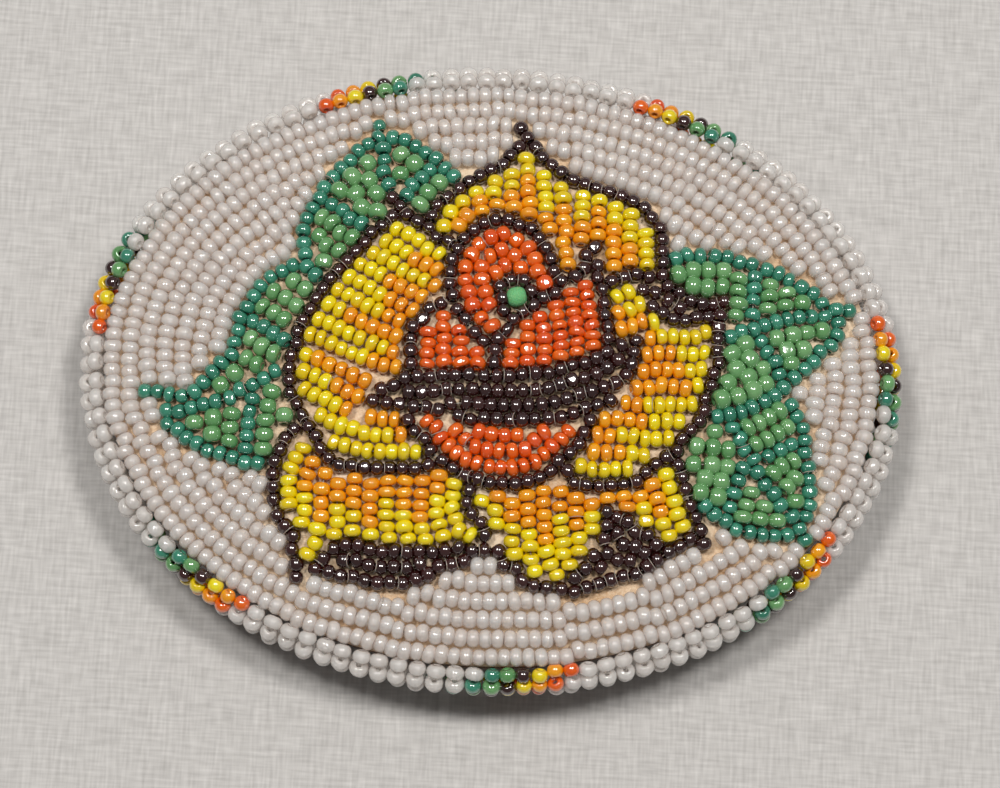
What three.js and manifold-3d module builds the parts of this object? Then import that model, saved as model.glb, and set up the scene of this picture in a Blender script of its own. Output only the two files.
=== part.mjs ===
// Oval beaded belt buckle: seed beads sewn in lanes to domed hide, a rolled bead edge, and a steel
// plate behind it with a swinging belt bail and a fixed hook stud. Millimetres, +Z is the beaded
// front, +X the bail end, +Y the top of the rose, and z = 0 is what the ears and the stud stand on.
import * as THREE from 'three';
import { mergeVertices } from 'three/addons/utils/BufferGeometryUtils.js';
import Module from 'manifold-3d';

const wasm = await Module();
wasm.setup();

// Overall
const halfLength = 51;         // centre to the outside of the edge beads
const halfWidth = 40;
const domeRise = 4.5;          // crown of the front above its rim
const domePower = 2.6;         // flat in the middle, falling away towards the rim
const gap = 0.3;               // between pieces that lie against each other

// Beads
const beadHeight = 2.1;        // how far a bead stands off the hide
const laneWidth = 2.6;         // one lane of petal or leaf beads
const strandWidth = 2.2;       // one outlining strand
const laneEnd = 0.75;          // from the last bead's centre to the lane's end
const strandEnd = 0.6;
const rowWidth = 2.2;          // pitch of the clear rows
const rollRadius = 2.1;        // edge stitches wrap round this radius
const edgeBead = 0.95;         // half a bead, measured across the roll
const accentTurns = [5.4, 63.3, 111.5, 167.6, 227.3, 277.7, 322.9]; // degrees round the oval to each accent
const accentStitches = 6;
const accentPitch = 1.9;
const roseDrop = 0.6;          // the rose and its leaves sit this far below the middle

// Layers, from the back
const standHeight = 7.2;       // the hardware holds the leather's back this high
const leatherThickness = 1.2;
const plateThickness = 1;
const stiffenerThickness = 0.5;
const hideThickness = 0.9;
const hideOverRoll = 0.95;     // the hide's face above the centre of the rolled edge
const leatherInset = 0.65;     // the leather's edge inside the centre of the roll
const plateInset = 2.4;
const padInset = 6.2;
const stiffenerInset = 4.6;

// Hardware
const wireRadius = 1.5;
const bailInnerWidth = 39;     // for a 38 mm belt
const bailReach = 16;          // hinge axis to the far bar
const bendRadius = 3;
const earRimRoom = 2.62;       // along the buckle, from an ear's foot to the leather's edge
const earRadius = 2.9;
const earThickness = 4;
const earSideGap = 0.8;
const earFlangeLength = 10;
const earFlangeWidth = 6;
const flangeThickness = 1;
const pinClearance = 0.3;      // wire in its ear
const restGap = 0.2;           // closed bail to the edge beads over it
const studX = -33;
const studRadius = 2.1;
const studHeadRadius = 3.2;
const studHeadHeight = 1.7;
const studFlangeRadius = 5;

const rollA = halfLength - rollRadius - edgeBead;
const rollB = halfWidth - rollRadius - edgeBead;
const fieldA = rollA - gap - 0.65;
const fieldB = rollB - gap - 0.65;
const plateZ = standHeight + leatherThickness + gap;
const padZ = plateZ + plateThickness + gap;
const hideRimZ = padZ - 0.05;
const hideFaceZ = hideRimZ + hideThickness;
const rollZ = hideFaceZ - hideOverRoll;
const hingeZ = earRadius;

const colours = {
  clear: ['#d8cdc8', 0.15, 0], yellow: ['#f0d000', 0.2, 0], red: ['#f04a1a', 0.2, 0],
  dark: ['#2a0f14', 0.15, 0], teal: ['#1f8a6c', 0.2, 0], green: ['#5fae6a', 0.2, 0],
  orange: ['#f59a10', 0.2, 0], hide: ['#d8b88a', 0.95, 0], leather: ['#5a3a24', 0.7, 0],
  felt: ['#8c8880', 1, 0], cloth: ['#e6e2d8', 1, 0], steel: ['#b9bcc0', 0.3, 1],
};

// Lanes of beads: x and y of the points that each runs through, then its beads in order
// (Y yellow, O orange, R red-orange, G light green, T teal, K dark)
const panels = {
  petal_top: { colour: 'yellow', lanes: [
    [-6, 19.6, -6.4, 17.6, 'YY'], [-4.5, 21, -4.1, 19.4, -5.1, 17.8, 'YOO'], [-2.9, 22.5, -2.4, 20, 'YOO'],
    [-0.5, 24, -0.5, 20.8, 'YYO'], [1.5, 25.2, 1.5, 20.8, 'YYOO'], [3.2, 27.4, 3.6, 19.8, 'YYOOOO'],
    [5.4, 25.2, 5.7, 21, 6.2, 17.8, 'YYYYOO'], [7.8, 23.8, 8.6, 13.3, 'YYOOOOOO'],
    [10.4, 22.8, 10.3, 17, 'YYYOO'], [12.5, 22.2, 12.2, 17.6, 'YOOO'], [14.5, 21.5, 14.5, 13.6, 'YYOOOO'],
    [16.3, 20.6, 16.4, 14.4, 'YYYOO'], [18.2, 18.3, 18.5, 14.2, 'YYYY']] },
  petal_left: { colour: 'yellow', lanes: [
    [-12.5, 17.6, -7.3, 13.9, 'YYYYY'], [-13.6, 15.7, -7.4, 11.8, 'YYYOOO'],
    [-15.2, 14.1, -7.3, 9.9, 'YYYYYYO'], [-16.7, 12.6, -9.1, 8.3, 'YYYOOOO'],
    [-18, 10.9, -10.2, 6.6, 'YYYYOOO'], [-19.1, 9.2, -11.4, 5, 'YYYYYOO'],
    [-20.3, 7.2, -11.9, 3, 'YYOOOOO'], [-21.4, 5.3, -12.4, 1.2, 'YYYYYYYO'],
    [-22.3, 3.2, -11.6, -0.5, 'YYYYYYOOO'], [-22.8, 0.7, -15.3, -2.4, 'YOOOOO'],
    [-22.9, -1.4, -16.1, -4.5, 'YYYOOO'], [-22.6, -3.7, -17.4, -6.2, 'YYYYO'],
    [-14.2, -7, -11.3, -7.2, 'OOO'], [-20.6, -7, -15.5, -8.7, -10.6, -9, 'YYYYYYYO'],
    [-18.8, -10.2, -14.4, -11.1, -8.7, -10.8, 'YYYYYYYY']] },
  petal_right: { colour: 'yellow', lanes: [
    [15.1, 9.6, 16.4, 10.4, 'YY'], [15.2, 7.5, 16.6, 8.3, 17.9, 8.7, 'OYY'],
    [15.8, 5.7, 19.8, 6.9, 'OOOY'], [19.3, 5, 23.5, 5, 26.3, 5.7, 'OYYYYY'], [18.8, 2.8, 26.1, 3, 'OOOYYY'],
    [18.4, 0.7, 25.9, 0.9, 'OOOOYY'], [17.9, -2, 20.7, -1.2, 25.5, -1.2, 'OOOOOY'],
    [16.6, -3.8, 24.8, -3.6, 'OOYYYYY'], [14, -6, 23.3, -5.7, 'OOOOYYY'],
    [13.2, -8, 21.9, -7.9, 'OOYYYYY'], [12.9, -10, 19, -10.3, 'OOOYY'], [11.4, -11.9, 17.2, -11.8, 'YYYYY']] },
  petal_lower_left: { colour: 'yellow', lanes: [
    [-22.4, -11, -23.9, -14.9, -23.6, -18, 'YYYYYY'], [-21.3, -12.7, -22, -20, 'OOOYYY'],
    [-19.7, -14.1, -20, -19.2, -20.2, -22, -21.2, -23.9, 'OOOOYYY'], [-17.8, -15, -18, -21.2, 'OOYYY'],
    [-15.9, -14.8, -15.9, -20.8, 'OOOYY'], [-13.9, -14.8, -13.8, -21.1, 'OOOOY'],
    [-11.9, -14.7, -11.5, -21.7, 'OOYYYY'], [-9.9, -14.6, -9.2, -21.8, 'OOOYYY'],
    [-7.8, -14.5, -7.2, -21.8, 'OOOOYY'], [-5.7, -14, -6, -17.5, -5, -21.2, 'OOYYYY'],
    [-3.8, -14.8, -4.1, -17.5, -3.1, -20.1, -1.7, -21, 'YYYYYY']] },
  petal_lower_middle: { colour: 'yellow', lanes: [
    [-0.4, -16.5, 'Y'], [1.3, -16.3, 1.5, -19.5, 'OYY'], [3.3, -16.5, 3.7, -22.7, 'OOYYY'],
    [5.1, -15.7, 6.1, -24.7, 'OOOYYYY'], [7.1, -15.3, 7.4, -22, 8.8, -25.2, 'OOOOOYYY'],
    [9, -15.3, 10.2, -23.8, 'OOYYYYY'], [10.9, -16, 11.9, -22.2, 'OOOYY'], [12.9, -16, 13.3, -19, 'OYY']] },
  petal_lower_right: { colour: 'yellow', lanes: [
    [15, -15.8, 'O'], [16.8, -15.3, 17, -16.7, 'OO'], [18.7, -14.9, 19.4, -18, 'OYY'],
    [20.4, -13.8, 22.2, -19.8, 'OOOYY'], [21.8, -12.3, 23.9, -18.5, 'YYYYY']] },
  centre_curl: { colour: 'red', lanes: [
    [6.1, 11, 4.9, 13.3, 3.7, 15.6, 1.3, 17, -1.2, 16.2, -3.1, 14.4, -3.7, 11.6, -3, 8.6, -1.1, 6, -0.3, 5,
      'RRRRRRRRRRRRRRR'],
    [2.9, 13, 2.6, 14.2, 1.2, 14.9, -1.1, 14, -1.9, 12.5, -1.7, 10, -0.7, 8.1, 'RRRRRRRR'],
    [1.2, 12.9, -0.1, 12, 'RR']] },
  centre_left: { colour: 'red', lanes: [
    [-7.6, 4.1, -7.6, 0.1, 'RRRR'], [-5.8, 6.1, -5.7, 0.4, 'RRRRR'], [-4.3, 4.6, -3.8, 0.4, 'RRRR'],
    [-2, 1.8, -2, 0.4, 'RR']] },
  centre_right: { colour: 'red', lanes: [
    [2.6, 3.3, 2.6, 0.7, 'RRR'], [4.5, 5.4, 4.6, 1, 'RRRR'], [5.9, 6.7, 6.5, 1.2, 'RRRRR'],
    [7.6, 8.2, 8.3, 1.7, 'RRRRRR'], [9.4, 9.8, 10.3, 2.4, 'RRRRRRR'], [10.9, 10.8, 12.3, 3, 'RRRRRRR']] },
  centre_lower: { colour: 'red', lanes: [
    [-7.5, -7.1, -5.7, -8.9, -2.7, -11.5, 1.8, -12.5, 6.2, -11.2, 8.8, -8.7, 9.6, -7.5, 'RRRRRRRRRRRRRRRR'],
    [-3.9, -7.8, -1.7, -9.6, 1.9, -10.4, 4.6, -9.9, 6.8, -8.1, 'RRRRRRRRR'],
    [-1.2, -8.3, 0.9, -8.7, 3.6, -8.4, 'RRRR']] },
  leaf_a_upper: { colour: 'green', lanes: [[-12.7, 27.3, -11, 25.9, 'GG'], [-12.2, 24.6, 'G']] },
  leaf_a_lower: { colour: 'green', lanes: [[-7.5, 23.6, -9.7, 20.5, 'GGG']] },
  leaf_b_upper: { colour: 'green', lanes: [[-16.6, 26, -19.5, 22.2, 'GGG'], [-16.5, 23.4, -18, 21.5, 'GG'],
    [-15.3, 22.2, -16.8, 20.3, 'GG'], [-15.3, 19.3, 'G']] },
  leaf_b_lower: { colour: 'green', lanes: [[-22, 18.4, -18.2, 15.7, 'GGGG'], [-22.1, 15.9, -19.8, 14, 'GGG'],
    [-21.1, 12.6, 'G']] },
  leaf_c_upper: { colour: 'green', lanes: [[-24.8, 10.2, -23.3, 9.2, 'GG'], [-27.4, 8.9, -24.4, 7, 'GGG'],
    [-28.4, 6.9, -25.7, 5.1, 'GGG']] },
  leaf_c_middle: { colour: 'green', lanes: [[-29.8, 2.5, -26.6, 0.8, 'GGG'], [-30.1, -0.1, -28.7, -0.7, 'GG'],
    [-31.4, -1.9, -33.3, -3.3, 'GG']] },
  leaf_d_inner: { colour: 'green', lanes: [[-26.6, -4.2, -27.4, -11.4, 'GGGGG'], [-24.9, -7, 'G']] },
  leaf_d_outer: { colour: 'green', lanes: [[-31.5, -7, -31.8, -10.3, 'GGG'], [-33.7, -7.3, -33.5, -9.4, 'GG'],
    [-35.8, -8.1, 'G']] },
  leaf_e_inner: { colour: 'green', lanes: [[22.3, 13.2, 28.2, 13.7, 'GGGG'], [24.3, 12.1, 28.1, 11.8, 'GGG'],
    [30.3, 13.2, 29.4, 8.4, 'GGGG']] },
  leaf_e_outer: { colour: 'green', lanes: [[33.9, 12.4, 33.7, 9.2, 'GGG'], [35.8, 11.5, 35.9, 9.9, 'GG'],
    [37.7, 10.8, 'G']] },
  leaf_f_outer: { colour: 'green', lanes: [[40.7, 7.2, 35.1, 5.5, 'GGGG'], [38.3, 4.9, 36.1, 4.3, 'GG'],
    [36.8, 3.1, 'G']] },
  leaf_f_inner: { colour: 'green', lanes: [[31.2, 4.6, 29.3, 3, 'GG'], [31.9, 3, 30.3, 1.3, 'GG'],
    [32.9, 1.6, 29.2, -0.6, 'GGG'], [34, 0.1, 28.4, -2.6, 'GGGG']] },
  leaf_g_inner: { colour: 'green', lanes: [[27.5, -6.9, 'G'], [25.3, -8.8, 29.4, -9, 'GGG'],
    [25.2, -10.9, 29.1, -11.1, 'GGG'], [26.6, -12.3, 28.7, -12.6, 'GG'], [26.2, -13.8, 28.3, -14.2, 'GG']] },
  leaf_g_upper: { colour: 'green', lanes: [[35.1, -3.2, 31.6, -5.5, 'GGGG'], [36.2, -5.1, 32.9, -7.5, 'GGGG']] },
  leaf_g_lower: { colour: 'green', lanes: [[32.4, -13.6, 31.6, -16.5, 'GGG'], [34.2, -15, 33.7, -16.6, 'GG'],
    [35.7, -16.8, 'G']] },
  leaf_g_outer: { colour: 'green', lanes: [[37.2, -9.3, 35.2, -11.2, 'GGG'], [37.9, -11.6, 37, -12.7, 'GG'],
    [38.1, -14.4, 'G']] },
};

// Outlining strands: x and y of the points that each runs through
const strands = {
  rose_outline: { colour: 'dark', runs: [
    [2.3, 31.8, 3.2, 30.4, 2.1, 29.3, 0, 26.5, -2.6, 24.7, -5.2, 22.6, -7.6, 20.2, -8.1, 17.5],
    [3.2, 30.4, 4.4, 29.1, 5.4, 27.4, 8, 25.5, 11.1, 24.4, 14.4, 23.4, 17.7, 22, 19.9, 19.5, 20.5, 17,
      20.4, 14.2, 20.5, 12.8],
    [13.2, 10.4, 14.2, 11.5, 15.7, 12.4, 17.3, 12.8, 18.9, 12.5, 20.5, 12.8],
    [-13.5, 21.4, -11, 19.1, -8.1, 17.2, -6.5, 15.8, -5, 15, -4.4, 16.5, -3.5, 17.6, -2.1, 18.5, 0.8, 19.2,
      3.9, 18.1, 5, 16.8, 6.7, 14, 7.2, 12.7, 8.4, 11.3, 9.5, 11.9, 10.6, 13.5, 11.1, 15, 11.9, 16.1],
    [12.4, 13.4, 12.5, 11.8, 13.2, 10.4, 13.9, 5.8, 14.5, 2.7, 13.3, 1.7, 10.2, 0.9, 6.7, -0.1, 2.4, -1,
      -1.9, -1.1, -8.8, -1.5, -11.6, -2.7, -13.2, -3.7],
    [8.4, 11.3, 7.5, 10.1, 4.9, 8.3, 2.6, 6.4, 1.6, 5.2, 0.5, 2.4, 0, 0.7, 0, -1],
    [4.6, 10.2, 3.1, 11.3, 1.3, 11.1, 0.4, 9.4, 0.9, 8, 2.6, 6.4], [4.9, 8.3, 4.6, 10.2],
    [-5, 15, -5.5, 13.3, -5.6, 10.4, -5.2, 8.3, -6.8, 7.9, -8.1, 6.7, -9.3, 5, -10, 3.4, -10, 1.8, -9.6, 0.1,
      -9.6, -1.6],
    [-5.2, 8.3, -4, 6.8, -2.1, 4.2, -1, 3.5, 0.5, 2.4],
    [-13.2, -3.7, -9.8, -3.7, -4.3, -2.9, 2.3, -2.9, 5.5, -2.6, 8.3, -1.8, 11.3, -0.7, 12.8, -0.4, 14.1, 1],
    [-14.1, -4.7, -12.2, -5.1, -8.6, -5.4, -5.4, -5.6, -3.9, -4.7, 1.6, -4.9, 4.9, -4.7, 7.7, -4.1, 10.8, -3,
      14.1, -1.6, 16.4, -0.8, 17.3, 2, 17.5, 4.3],
    [14.1, 1, 15.4, 1.1, 14.6, 2.5, 15.9, 3.8, 17.5, 4.3],
    [-5.4, -5.7, -2.2, -6.7, 2.8, -6.9, 5.7, -6.6, 8.7, -6, 11.8, -4.6, 14.5, -3.6, 15.2, -2.3, 16.4, -0.8],
    [-10.5, -5.4, -9.7, -7.2, -8.7, -8.6, -6.2, -11, -3.2, -13.3, -0.2, -14.2, 1.5, -14.5, 4.5, -14.1,
      7.3, -13, 9.3, -11, 11.3, -8.8, 12.4, -6.2, 11.8, -4.6],
    [-12.4, 20.2, -15.3, 17.1, -17, 14.5, -20.8, 9.6, -22.5, 6.8, -23.9, 3.7, -24.7, -1.5, -24.2, -4.7,
      -22.6, -7.1, -20.3, -10.4, -19.5, -11.7, -18.3, -12.7, -16.7, -13.1, -10.5, -13, -7.2, -12.6, -6.2, -11.1],
    [-22.6, -7.1, -24.5, -9.7, -25.5, -11.4, -26, -14.3, -25.6, -16.6, -24.8, -18.9, -23.1, -21.4,
      -22.6, -24, -22.5, -26.5],
    [-19.4, -23.8, -20, -25.6, -16.6, -25.9, -13.2, -26.6, -9, -26.5, -7.2, -25.5, -4.1, -24.6, -0.6, -22.5,
      1.2, -22, 2.1, -23.3, 5.9, -26.2, 9.1, -26.8, 12.3, -26.4, 15.3, -25.3, 18.2, -24.2, 20.9, -22.5,
      24.7, -19.5, 26.1, -18.5],
    [-19.4, -23.8, -18.3, -22.8, -15.6, -22.6, -12, -22.9, -9.5, -23.3, -6.3, -23, -3, -21.9, -1.5, -22.6],
    [-18.5, -24.3, -15.2, -24.2, -13.2, -24.8, -9, -24.9, -7.2, -24.3],
    [-1.9, -13.6, -2.1, -16, -1.8, -17.6, -0.7, -19.1, -0.1, -20.7, 1.2, -22],
    [9.3, -11, 10, -13.4, 13.1, -14, 17.3, -13.4, 20.3, -11.6, 22.3, -9.8, 24.4, -7.3, 26, -4.4, 27, -0.8,
      27.5, 1.6, 27.9, 3.5, 27.8, 6.6, 27.9, 8.2],
    [22.3, -9.8, 23.4, -11, 24.6, -14.8, 25.5, -17.2, 26.1, -18.5, 26.4, -20],
    [14.6, -17.2, 16.7, -18.2, 19.3, -19.5, 20.5, -20.5, 22, -21.6],
    [14.6, -17.2, 15.2, -19.2, 16.4, -20.3, 19, -21.5, 20.9, -22.5],
    [15.2, -19.2, 14, -21.6, 15.7, -22.1, 17.2, -22.9, 19.6, -23.4],
    [14, -21.6, 13.1, -23, 14.7, -23.8, 16.5, -24.9], [13.1, -23, 11.9, -24.2, 11.2, -25.1, 11, -26.7],
    [18.3, 12.5, 18.3, 10.8, 19.9, 10.5, 21.7, 9.7, 23.2, 8.9],
    [20.5, 12.8, 21.6, 11.7, 24.5, 9.9, 27.2, 9.9, 28.4, 10.4],
    [19.4, 10.5, 19.4, 9, 21.1, 7.7, 24.6, 7.4, 27.9, 8.2, 27.2, 9.9]] },
  leaf_outline_left: { colour: 'teal', runs: [
    [-15.6, 31.3, -15.2, 30.1, -17, 28.4, -19, 25.8, -21.2, 23.1, -22.5, 20.5, -24, 17.8, -24.1, 16.1,
      -23.3, 12.3, -22.1, 11],
    [-15.2, 30.1, -11.9, 29.4, -9.5, 27.7, -7, 25.6, -5.9, 24.6],
    [-15.2, 30.1, -15, 28.6, -14.4, 25.1, -13.7, 23.3], [-8.3, 26.7, -9.8, 24, -11, 22.9, -11.5, 21.8],
    [-22.5, 20.8, -20.5, 20.4, -18.2, 18.4, -16.9, 17.6],
    [-23.3, 12.3, -26.2, 11.4, -28.6, 9.9, -30.3, 7.6, -31.2, 4.7, -31.6, 1.5, -33, -1.2, -35.2, -3.3,
      -36.4, -4.5, -39, -4.9, -42.4, -4.2],
    [-31.2, 4.9, -29.4, 4.7, -26.8, 3.2, -25.6, 2.4],
    [-26.4, -1.5, -28.9, -3.3, -32.8, -5.1, -35.4, -6, -40, -7, -39, -8.4, -36.4, -10.1, -33.5, -11.4,
      -30.9, -12.4, -27.9, -13.1],
    [-29.2, -3.5, -29.2, -7.4, -29.6, -12.7], [-36.4, -4.5, -38.5, -6.6]] },
  leaf_outline_right: { colour: 'teal', runs: [
    [22.2, 14.8, 23.7, 15.6, 29, 15.6, 31.6, 15, 36.8, 13.3, 40.5, 11.1, 41.2, 9.5],
    [43.6, 10.3, 41.2, 9.5, 38.8, 9.1, 34.2, 7.4, 31.6, 6.3, 29.1, 5.6],
    [32, 15, 32.2, 11.8, 31.6, 6.3, 32.9, 5, 34.6, 3, 35.8, -0.2, 33.9, -1.8, 31.7, -3, 29.3, -4.3, 27.7, -4.5],
    [42.3, 9.9, 42.7, 8, 41.2, 5.3, 39.4, 3.5, 36.8, 1, 35.8, -0.2, 36.5, -2, 38, -4.4, 38.9, -10.1,
      39.3, -14.3, 38.4, -17.4, 39, -18.9],
    [38.4, -17.4, 36.8, -18.2, 33, -18.4, 30.5, -17.9, 28.1, -16.5, 26.7, -15.3],
    [30, -4.1, 30, -6.9, 31.3, -8.1, 33.2, -10.9, 34.7, -13.2, 38.4, -17],
    [31.8, -9, 31, -10.8, 30.3, -14, 29.3, -17], [38.4, -6.5, 36.9, -7.3, 34.2, -9.2, 33.1, -10.7]] },
};
const centreBead = { x: 2.7, y: 9, radius: 1.25 };

// Height of a layer of the dome at a share of the way out to the rim
const crown = (share) => domeRise * (1 - Math.min(share, 1) ** domePower);

function toSolid(geometry) {
  const bare = geometry.clone();
  bare.deleteAttribute('normal');
  bare.deleteAttribute('uv');
  const merged = mergeVertices(bare, 1e-4);
  const mesh = new wasm.Mesh({ numProp: 3, vertProperties: merged.attributes.position.array,
    triVerts: Uint32Array.from(merged.index.array) });
  mesh.merge();
  const solid = new wasm.Manifold(mesh);
  if (solid.volume() > 0) return solid;
  const turned = Uint32Array.from(merged.index.array);
  for (let i = 0; i < turned.length; i += 3) [turned[i], turned[i + 1]] = [turned[i + 1], turned[i]];
  return new wasm.Manifold(new wasm.Mesh({ numProp: 3,
    vertProperties: merged.attributes.position.array, triVerts: turned }));
}

// The body of a solid without the slivers that crossing lanes can leave
function mainBody(solid) {
  const bodies = solid.decompose();
  return bodies.reduce((best, body) => (body.volume() > best.volume() ? body : best));
}

function toGeometry(solid) {
  const mesh = solid.getMesh();
  const geometry = new THREE.BufferGeometry();
  geometry.setAttribute('position', new THREE.BufferAttribute(Float32Array.from(mesh.vertProperties), 3));
  geometry.setIndex(new THREE.BufferAttribute(Uint32Array.from(mesh.triVerts), 1));
  geometry.computeVertexNormals();
  return geometry;
}

const buckle = new THREE.Group();

function addPiece(name, colour, solid) {
  const [tone, roughness, metalness] = colours[colour];
  const material = new THREE.MeshStandardMaterial({ color: tone, roughness, metalness, flatShading: true });
  const mesh = new THREE.Mesh(toGeometry(solid), material);
  mesh.name = name;
  buckle.add(mesh);
}

// An oval solid turned from a profile of [share of the half-axes, z]
function oval(a, b, profile, segments = 36) {
  const geometry = new THREE.LatheGeometry(profile.map(([r, z]) => new THREE.Vector2(r, z)), segments);
  geometry.rotateX(Math.PI / 2);
  geometry.scale(a, b, 1);
  return toSolid(geometry);
}

// Shares of the way out, closer together towards the rim where the dome falls away
const shares = (outer) => [0, 0.5, 0.72, 0.88, 1].map((step) => step * outer);

// A layer of the dome between two heights over the rim, from one share of the field to another
function domeLayer(low, high, inner, outer) {
  const steps = inner > 0 ? [inner, outer] : shares(outer);
  const under = steps.map((r) => [r, low + crown(r)]);
  const over = steps.map((r) => [r, high + crown(r)]).reverse();
  const profile = [...under, ...over];
  if (inner > 0) profile.push(under[0]);
  return oval(fieldA, fieldB, profile);
}

function box(x, y, z, sizeX, sizeY, sizeZ, turn = 0) {
  const geometry = new THREE.BoxGeometry(sizeX, sizeY, sizeZ);
  geometry.rotateZ(turn);
  geometry.translate(x, y, z);
  return toSolid(geometry);
}

function cylinder(x, y, z, radius, height, sides = 24) {
  const geometry = new THREE.CylinderGeometry(radius, radius, height, sides);
  geometry.rotateX(Math.PI / 2);
  geometry.translate(x, y, z);
  return toSolid(geometry);
}

// An upright ribbon along a run of points, standing through the whole bead layer
const tall = 2 * (hideFaceZ + domeRise + beadHeight);
function ribbon(run, width, end) {
  const points = [];
  for (let i = 0; i + 1 < run.length; i += 2) {
    if (typeof run[i] === 'number') points.push(new THREE.Vector2(run[i], run[i + 1] - roseDrop));
  }
  if (points.length === 1) return box(points[0].x, points[0].y, 0, width, 2 * end, tall);
  const aims = points.slice(1).map((point, i) => point.clone().sub(points[i]).normalize());
  const last = points.length - 1;
  const sides = points.map((point, i) => {
    const before = aims[Math.max(i - 1, 0)];
    const after = aims[Math.min(i, last - 1)];
    const middle = before.clone().add(after).normalize();
    const across = new THREE.Vector2(-middle.y, middle.x);
    const stretch = Math.min(1 / Math.max(middle.dot(after), 0.1), 1.25);
    const stand = point.clone();
    if (i === 0) stand.addScaledVector(after, -end);
    if (i === last) stand.addScaledVector(before, end);
    return [1, -1].map((side) => stand.clone().addScaledVector(across, (side * stretch * width) / 2));
  });
  const outline = [...sides.map(([left]) => left), ...sides.map(([, right]) => right).reverse()];
  const geometry = new THREE.ExtrudeGeometry(new THREE.Shape(outline), { depth: tall, bevelEnabled: false });
  return toSolid(geometry);
}

const join = (solids) => wasm.Manifold.union(solids);
const strandRibbons = (runs, grow) => join(runs.map((run) => ribbon(run, strandWidth + 2 * grow, strandEnd + grow)));
const laneRibbons = (lanes, grow) => join(lanes.map((lane) => ribbon(lane, laneWidth + 2 * grow, laneEnd + grow)));

// Backing leather and plate
const flangeZ = standHeight + leatherThickness - flangeThickness;
const earY = bailInnerWidth / 2 + 2 * wireRadius + earSideGap + earThickness / 2;
const leatherA = rollA - leatherInset;
const leatherB = rollB - leatherInset;
const footReach = leatherA * Math.sqrt(1 - ((earY + earFlangeWidth / 2) / leatherB) ** 2);
const hingeX = footReach - earFlangeLength / 2 - earRimRoom;
let leather = oval(leatherA, leatherB, [[0, standHeight], [1, standHeight],
  [1, standHeight + leatherThickness], [0, standHeight + leatherThickness]], 48);
for (const side of [1, -1]) {
  leather = leather.subtract(box(hingeX, side * earY, standHeight, earFlangeLength + 2 * gap,
    earFlangeWidth + 2 * gap, 4 * leatherThickness));
}
leather = leather.subtract(cylinder(studX, 0, standHeight, studFlangeRadius + gap, 4 * leatherThickness));
addPiece('leather_back', 'leather', leather);

addPiece('steel_plate', 'steel', oval(rollA - plateInset, rollB - plateInset, [[0, plateZ], [1, plateZ],
  [1, plateZ + plateThickness], [0, plateZ + plateThickness]]));

// Pad, stiffener and hide
const stiffenerFace = hideRimZ - gap;
const padFace = stiffenerFace - stiffenerThickness - gap;
const padShare = 1 - padInset / fieldA;
const stiffenerShare = 1 - stiffenerInset / fieldA;
addPiece('felt_pad', 'felt', oval(fieldA, fieldB, [[0, padZ], [padShare, padZ],
  ...shares(padShare).reverse().map((r) => [r, Math.max(padFace + crown(r), padZ + 0.2)])]));
const overPad = shares(stiffenerShare);
addPiece('stiffener', 'cloth', oval(fieldA, fieldB, [
  ...overPad.map((r) => [r, Math.max(stiffenerFace - stiffenerThickness + crown(r), padZ + 0.2 + gap)]),
  ...overPad.reverse().map((r) => [r, Math.max(stiffenerFace + crown(r), padZ + 0.2 + gap + 0.1)])]));
addPiece('hide_ground', 'hide', domeLayer(hideRimZ, hideFaceZ, 0, (rollA - gap) / fieldA));

// Bead layer: outlines first, then the lanes between them, then the clear rows round them all
const beadFoot = hideFaceZ + gap;
const beadTop = hideFaceZ + beadHeight;
const rowOuter = (rollA - gap) / fieldA;
const rowInner = rowOuter - (rowWidth - gap) / fieldA;
const fieldShare = rowInner - gap / fieldA;
const field = domeLayer(beadFoot, beadTop, 0, fieldShare);
addPiece('white_row_outer', 'clear', domeLayer(beadFoot, beadTop, rowInner, rowOuter));

const beadY = centreBead.y - roseDrop;
const bead = cylinder(centreBead.x, beadY, 0, centreBead.radius, tall, 16);
const beadRoom = cylinder(centreBead.x, beadY, 0, centreBead.radius + gap, tall, 16);
addPiece('centre_bead', 'green', field.intersect(bead));

const taken = [beadRoom];
let strandRoom = beadRoom;
for (const [name, { colour, runs }] of Object.entries(strands)) {
  addPiece(name, colour, mainBody(field.intersect(strandRibbons(runs, 0)).subtract(strandRoom)));
  strandRoom = strandRoom.add(strandRibbons(runs, gap));
}
taken.push(strandRoom);
let laneRoom = strandRoom;
for (const [name, { colour, lanes }] of Object.entries(panels)) {
  addPiece(name, colour, mainBody(field.intersect(laneRibbons(lanes, 0)).subtract(laneRoom)));
  laneRoom = laneRoom.add(laneRibbons(lanes, gap));
}
// Three leaf tips reach the outer row and part the clear rows into an upper, a lower and a right field
const tipOverlap = 4;
const tips = [[-42.4, -4.2 - roseDrop], [43.6, 10.3 - roseDrop], [39, -18.9 - roseDrop]];
const partings = tips.map(([x, y]) => {
  const middle = 1 + (halfLength / 2 - tipOverlap) / Math.hypot(x, y);
  return box(x * middle, y * middle, 0, halfLength, gap, tall, Math.atan2(y, x));
});
const fields = field.subtract(laneRoom).subtract(join(partings)).decompose();
fields.sort((one, other) => other.volume() - one.volume());
['upper', 'lower', 'right'].forEach((side, i) => addPiece(`white_field_${side}`, 'clear', fields[i]));

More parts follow.
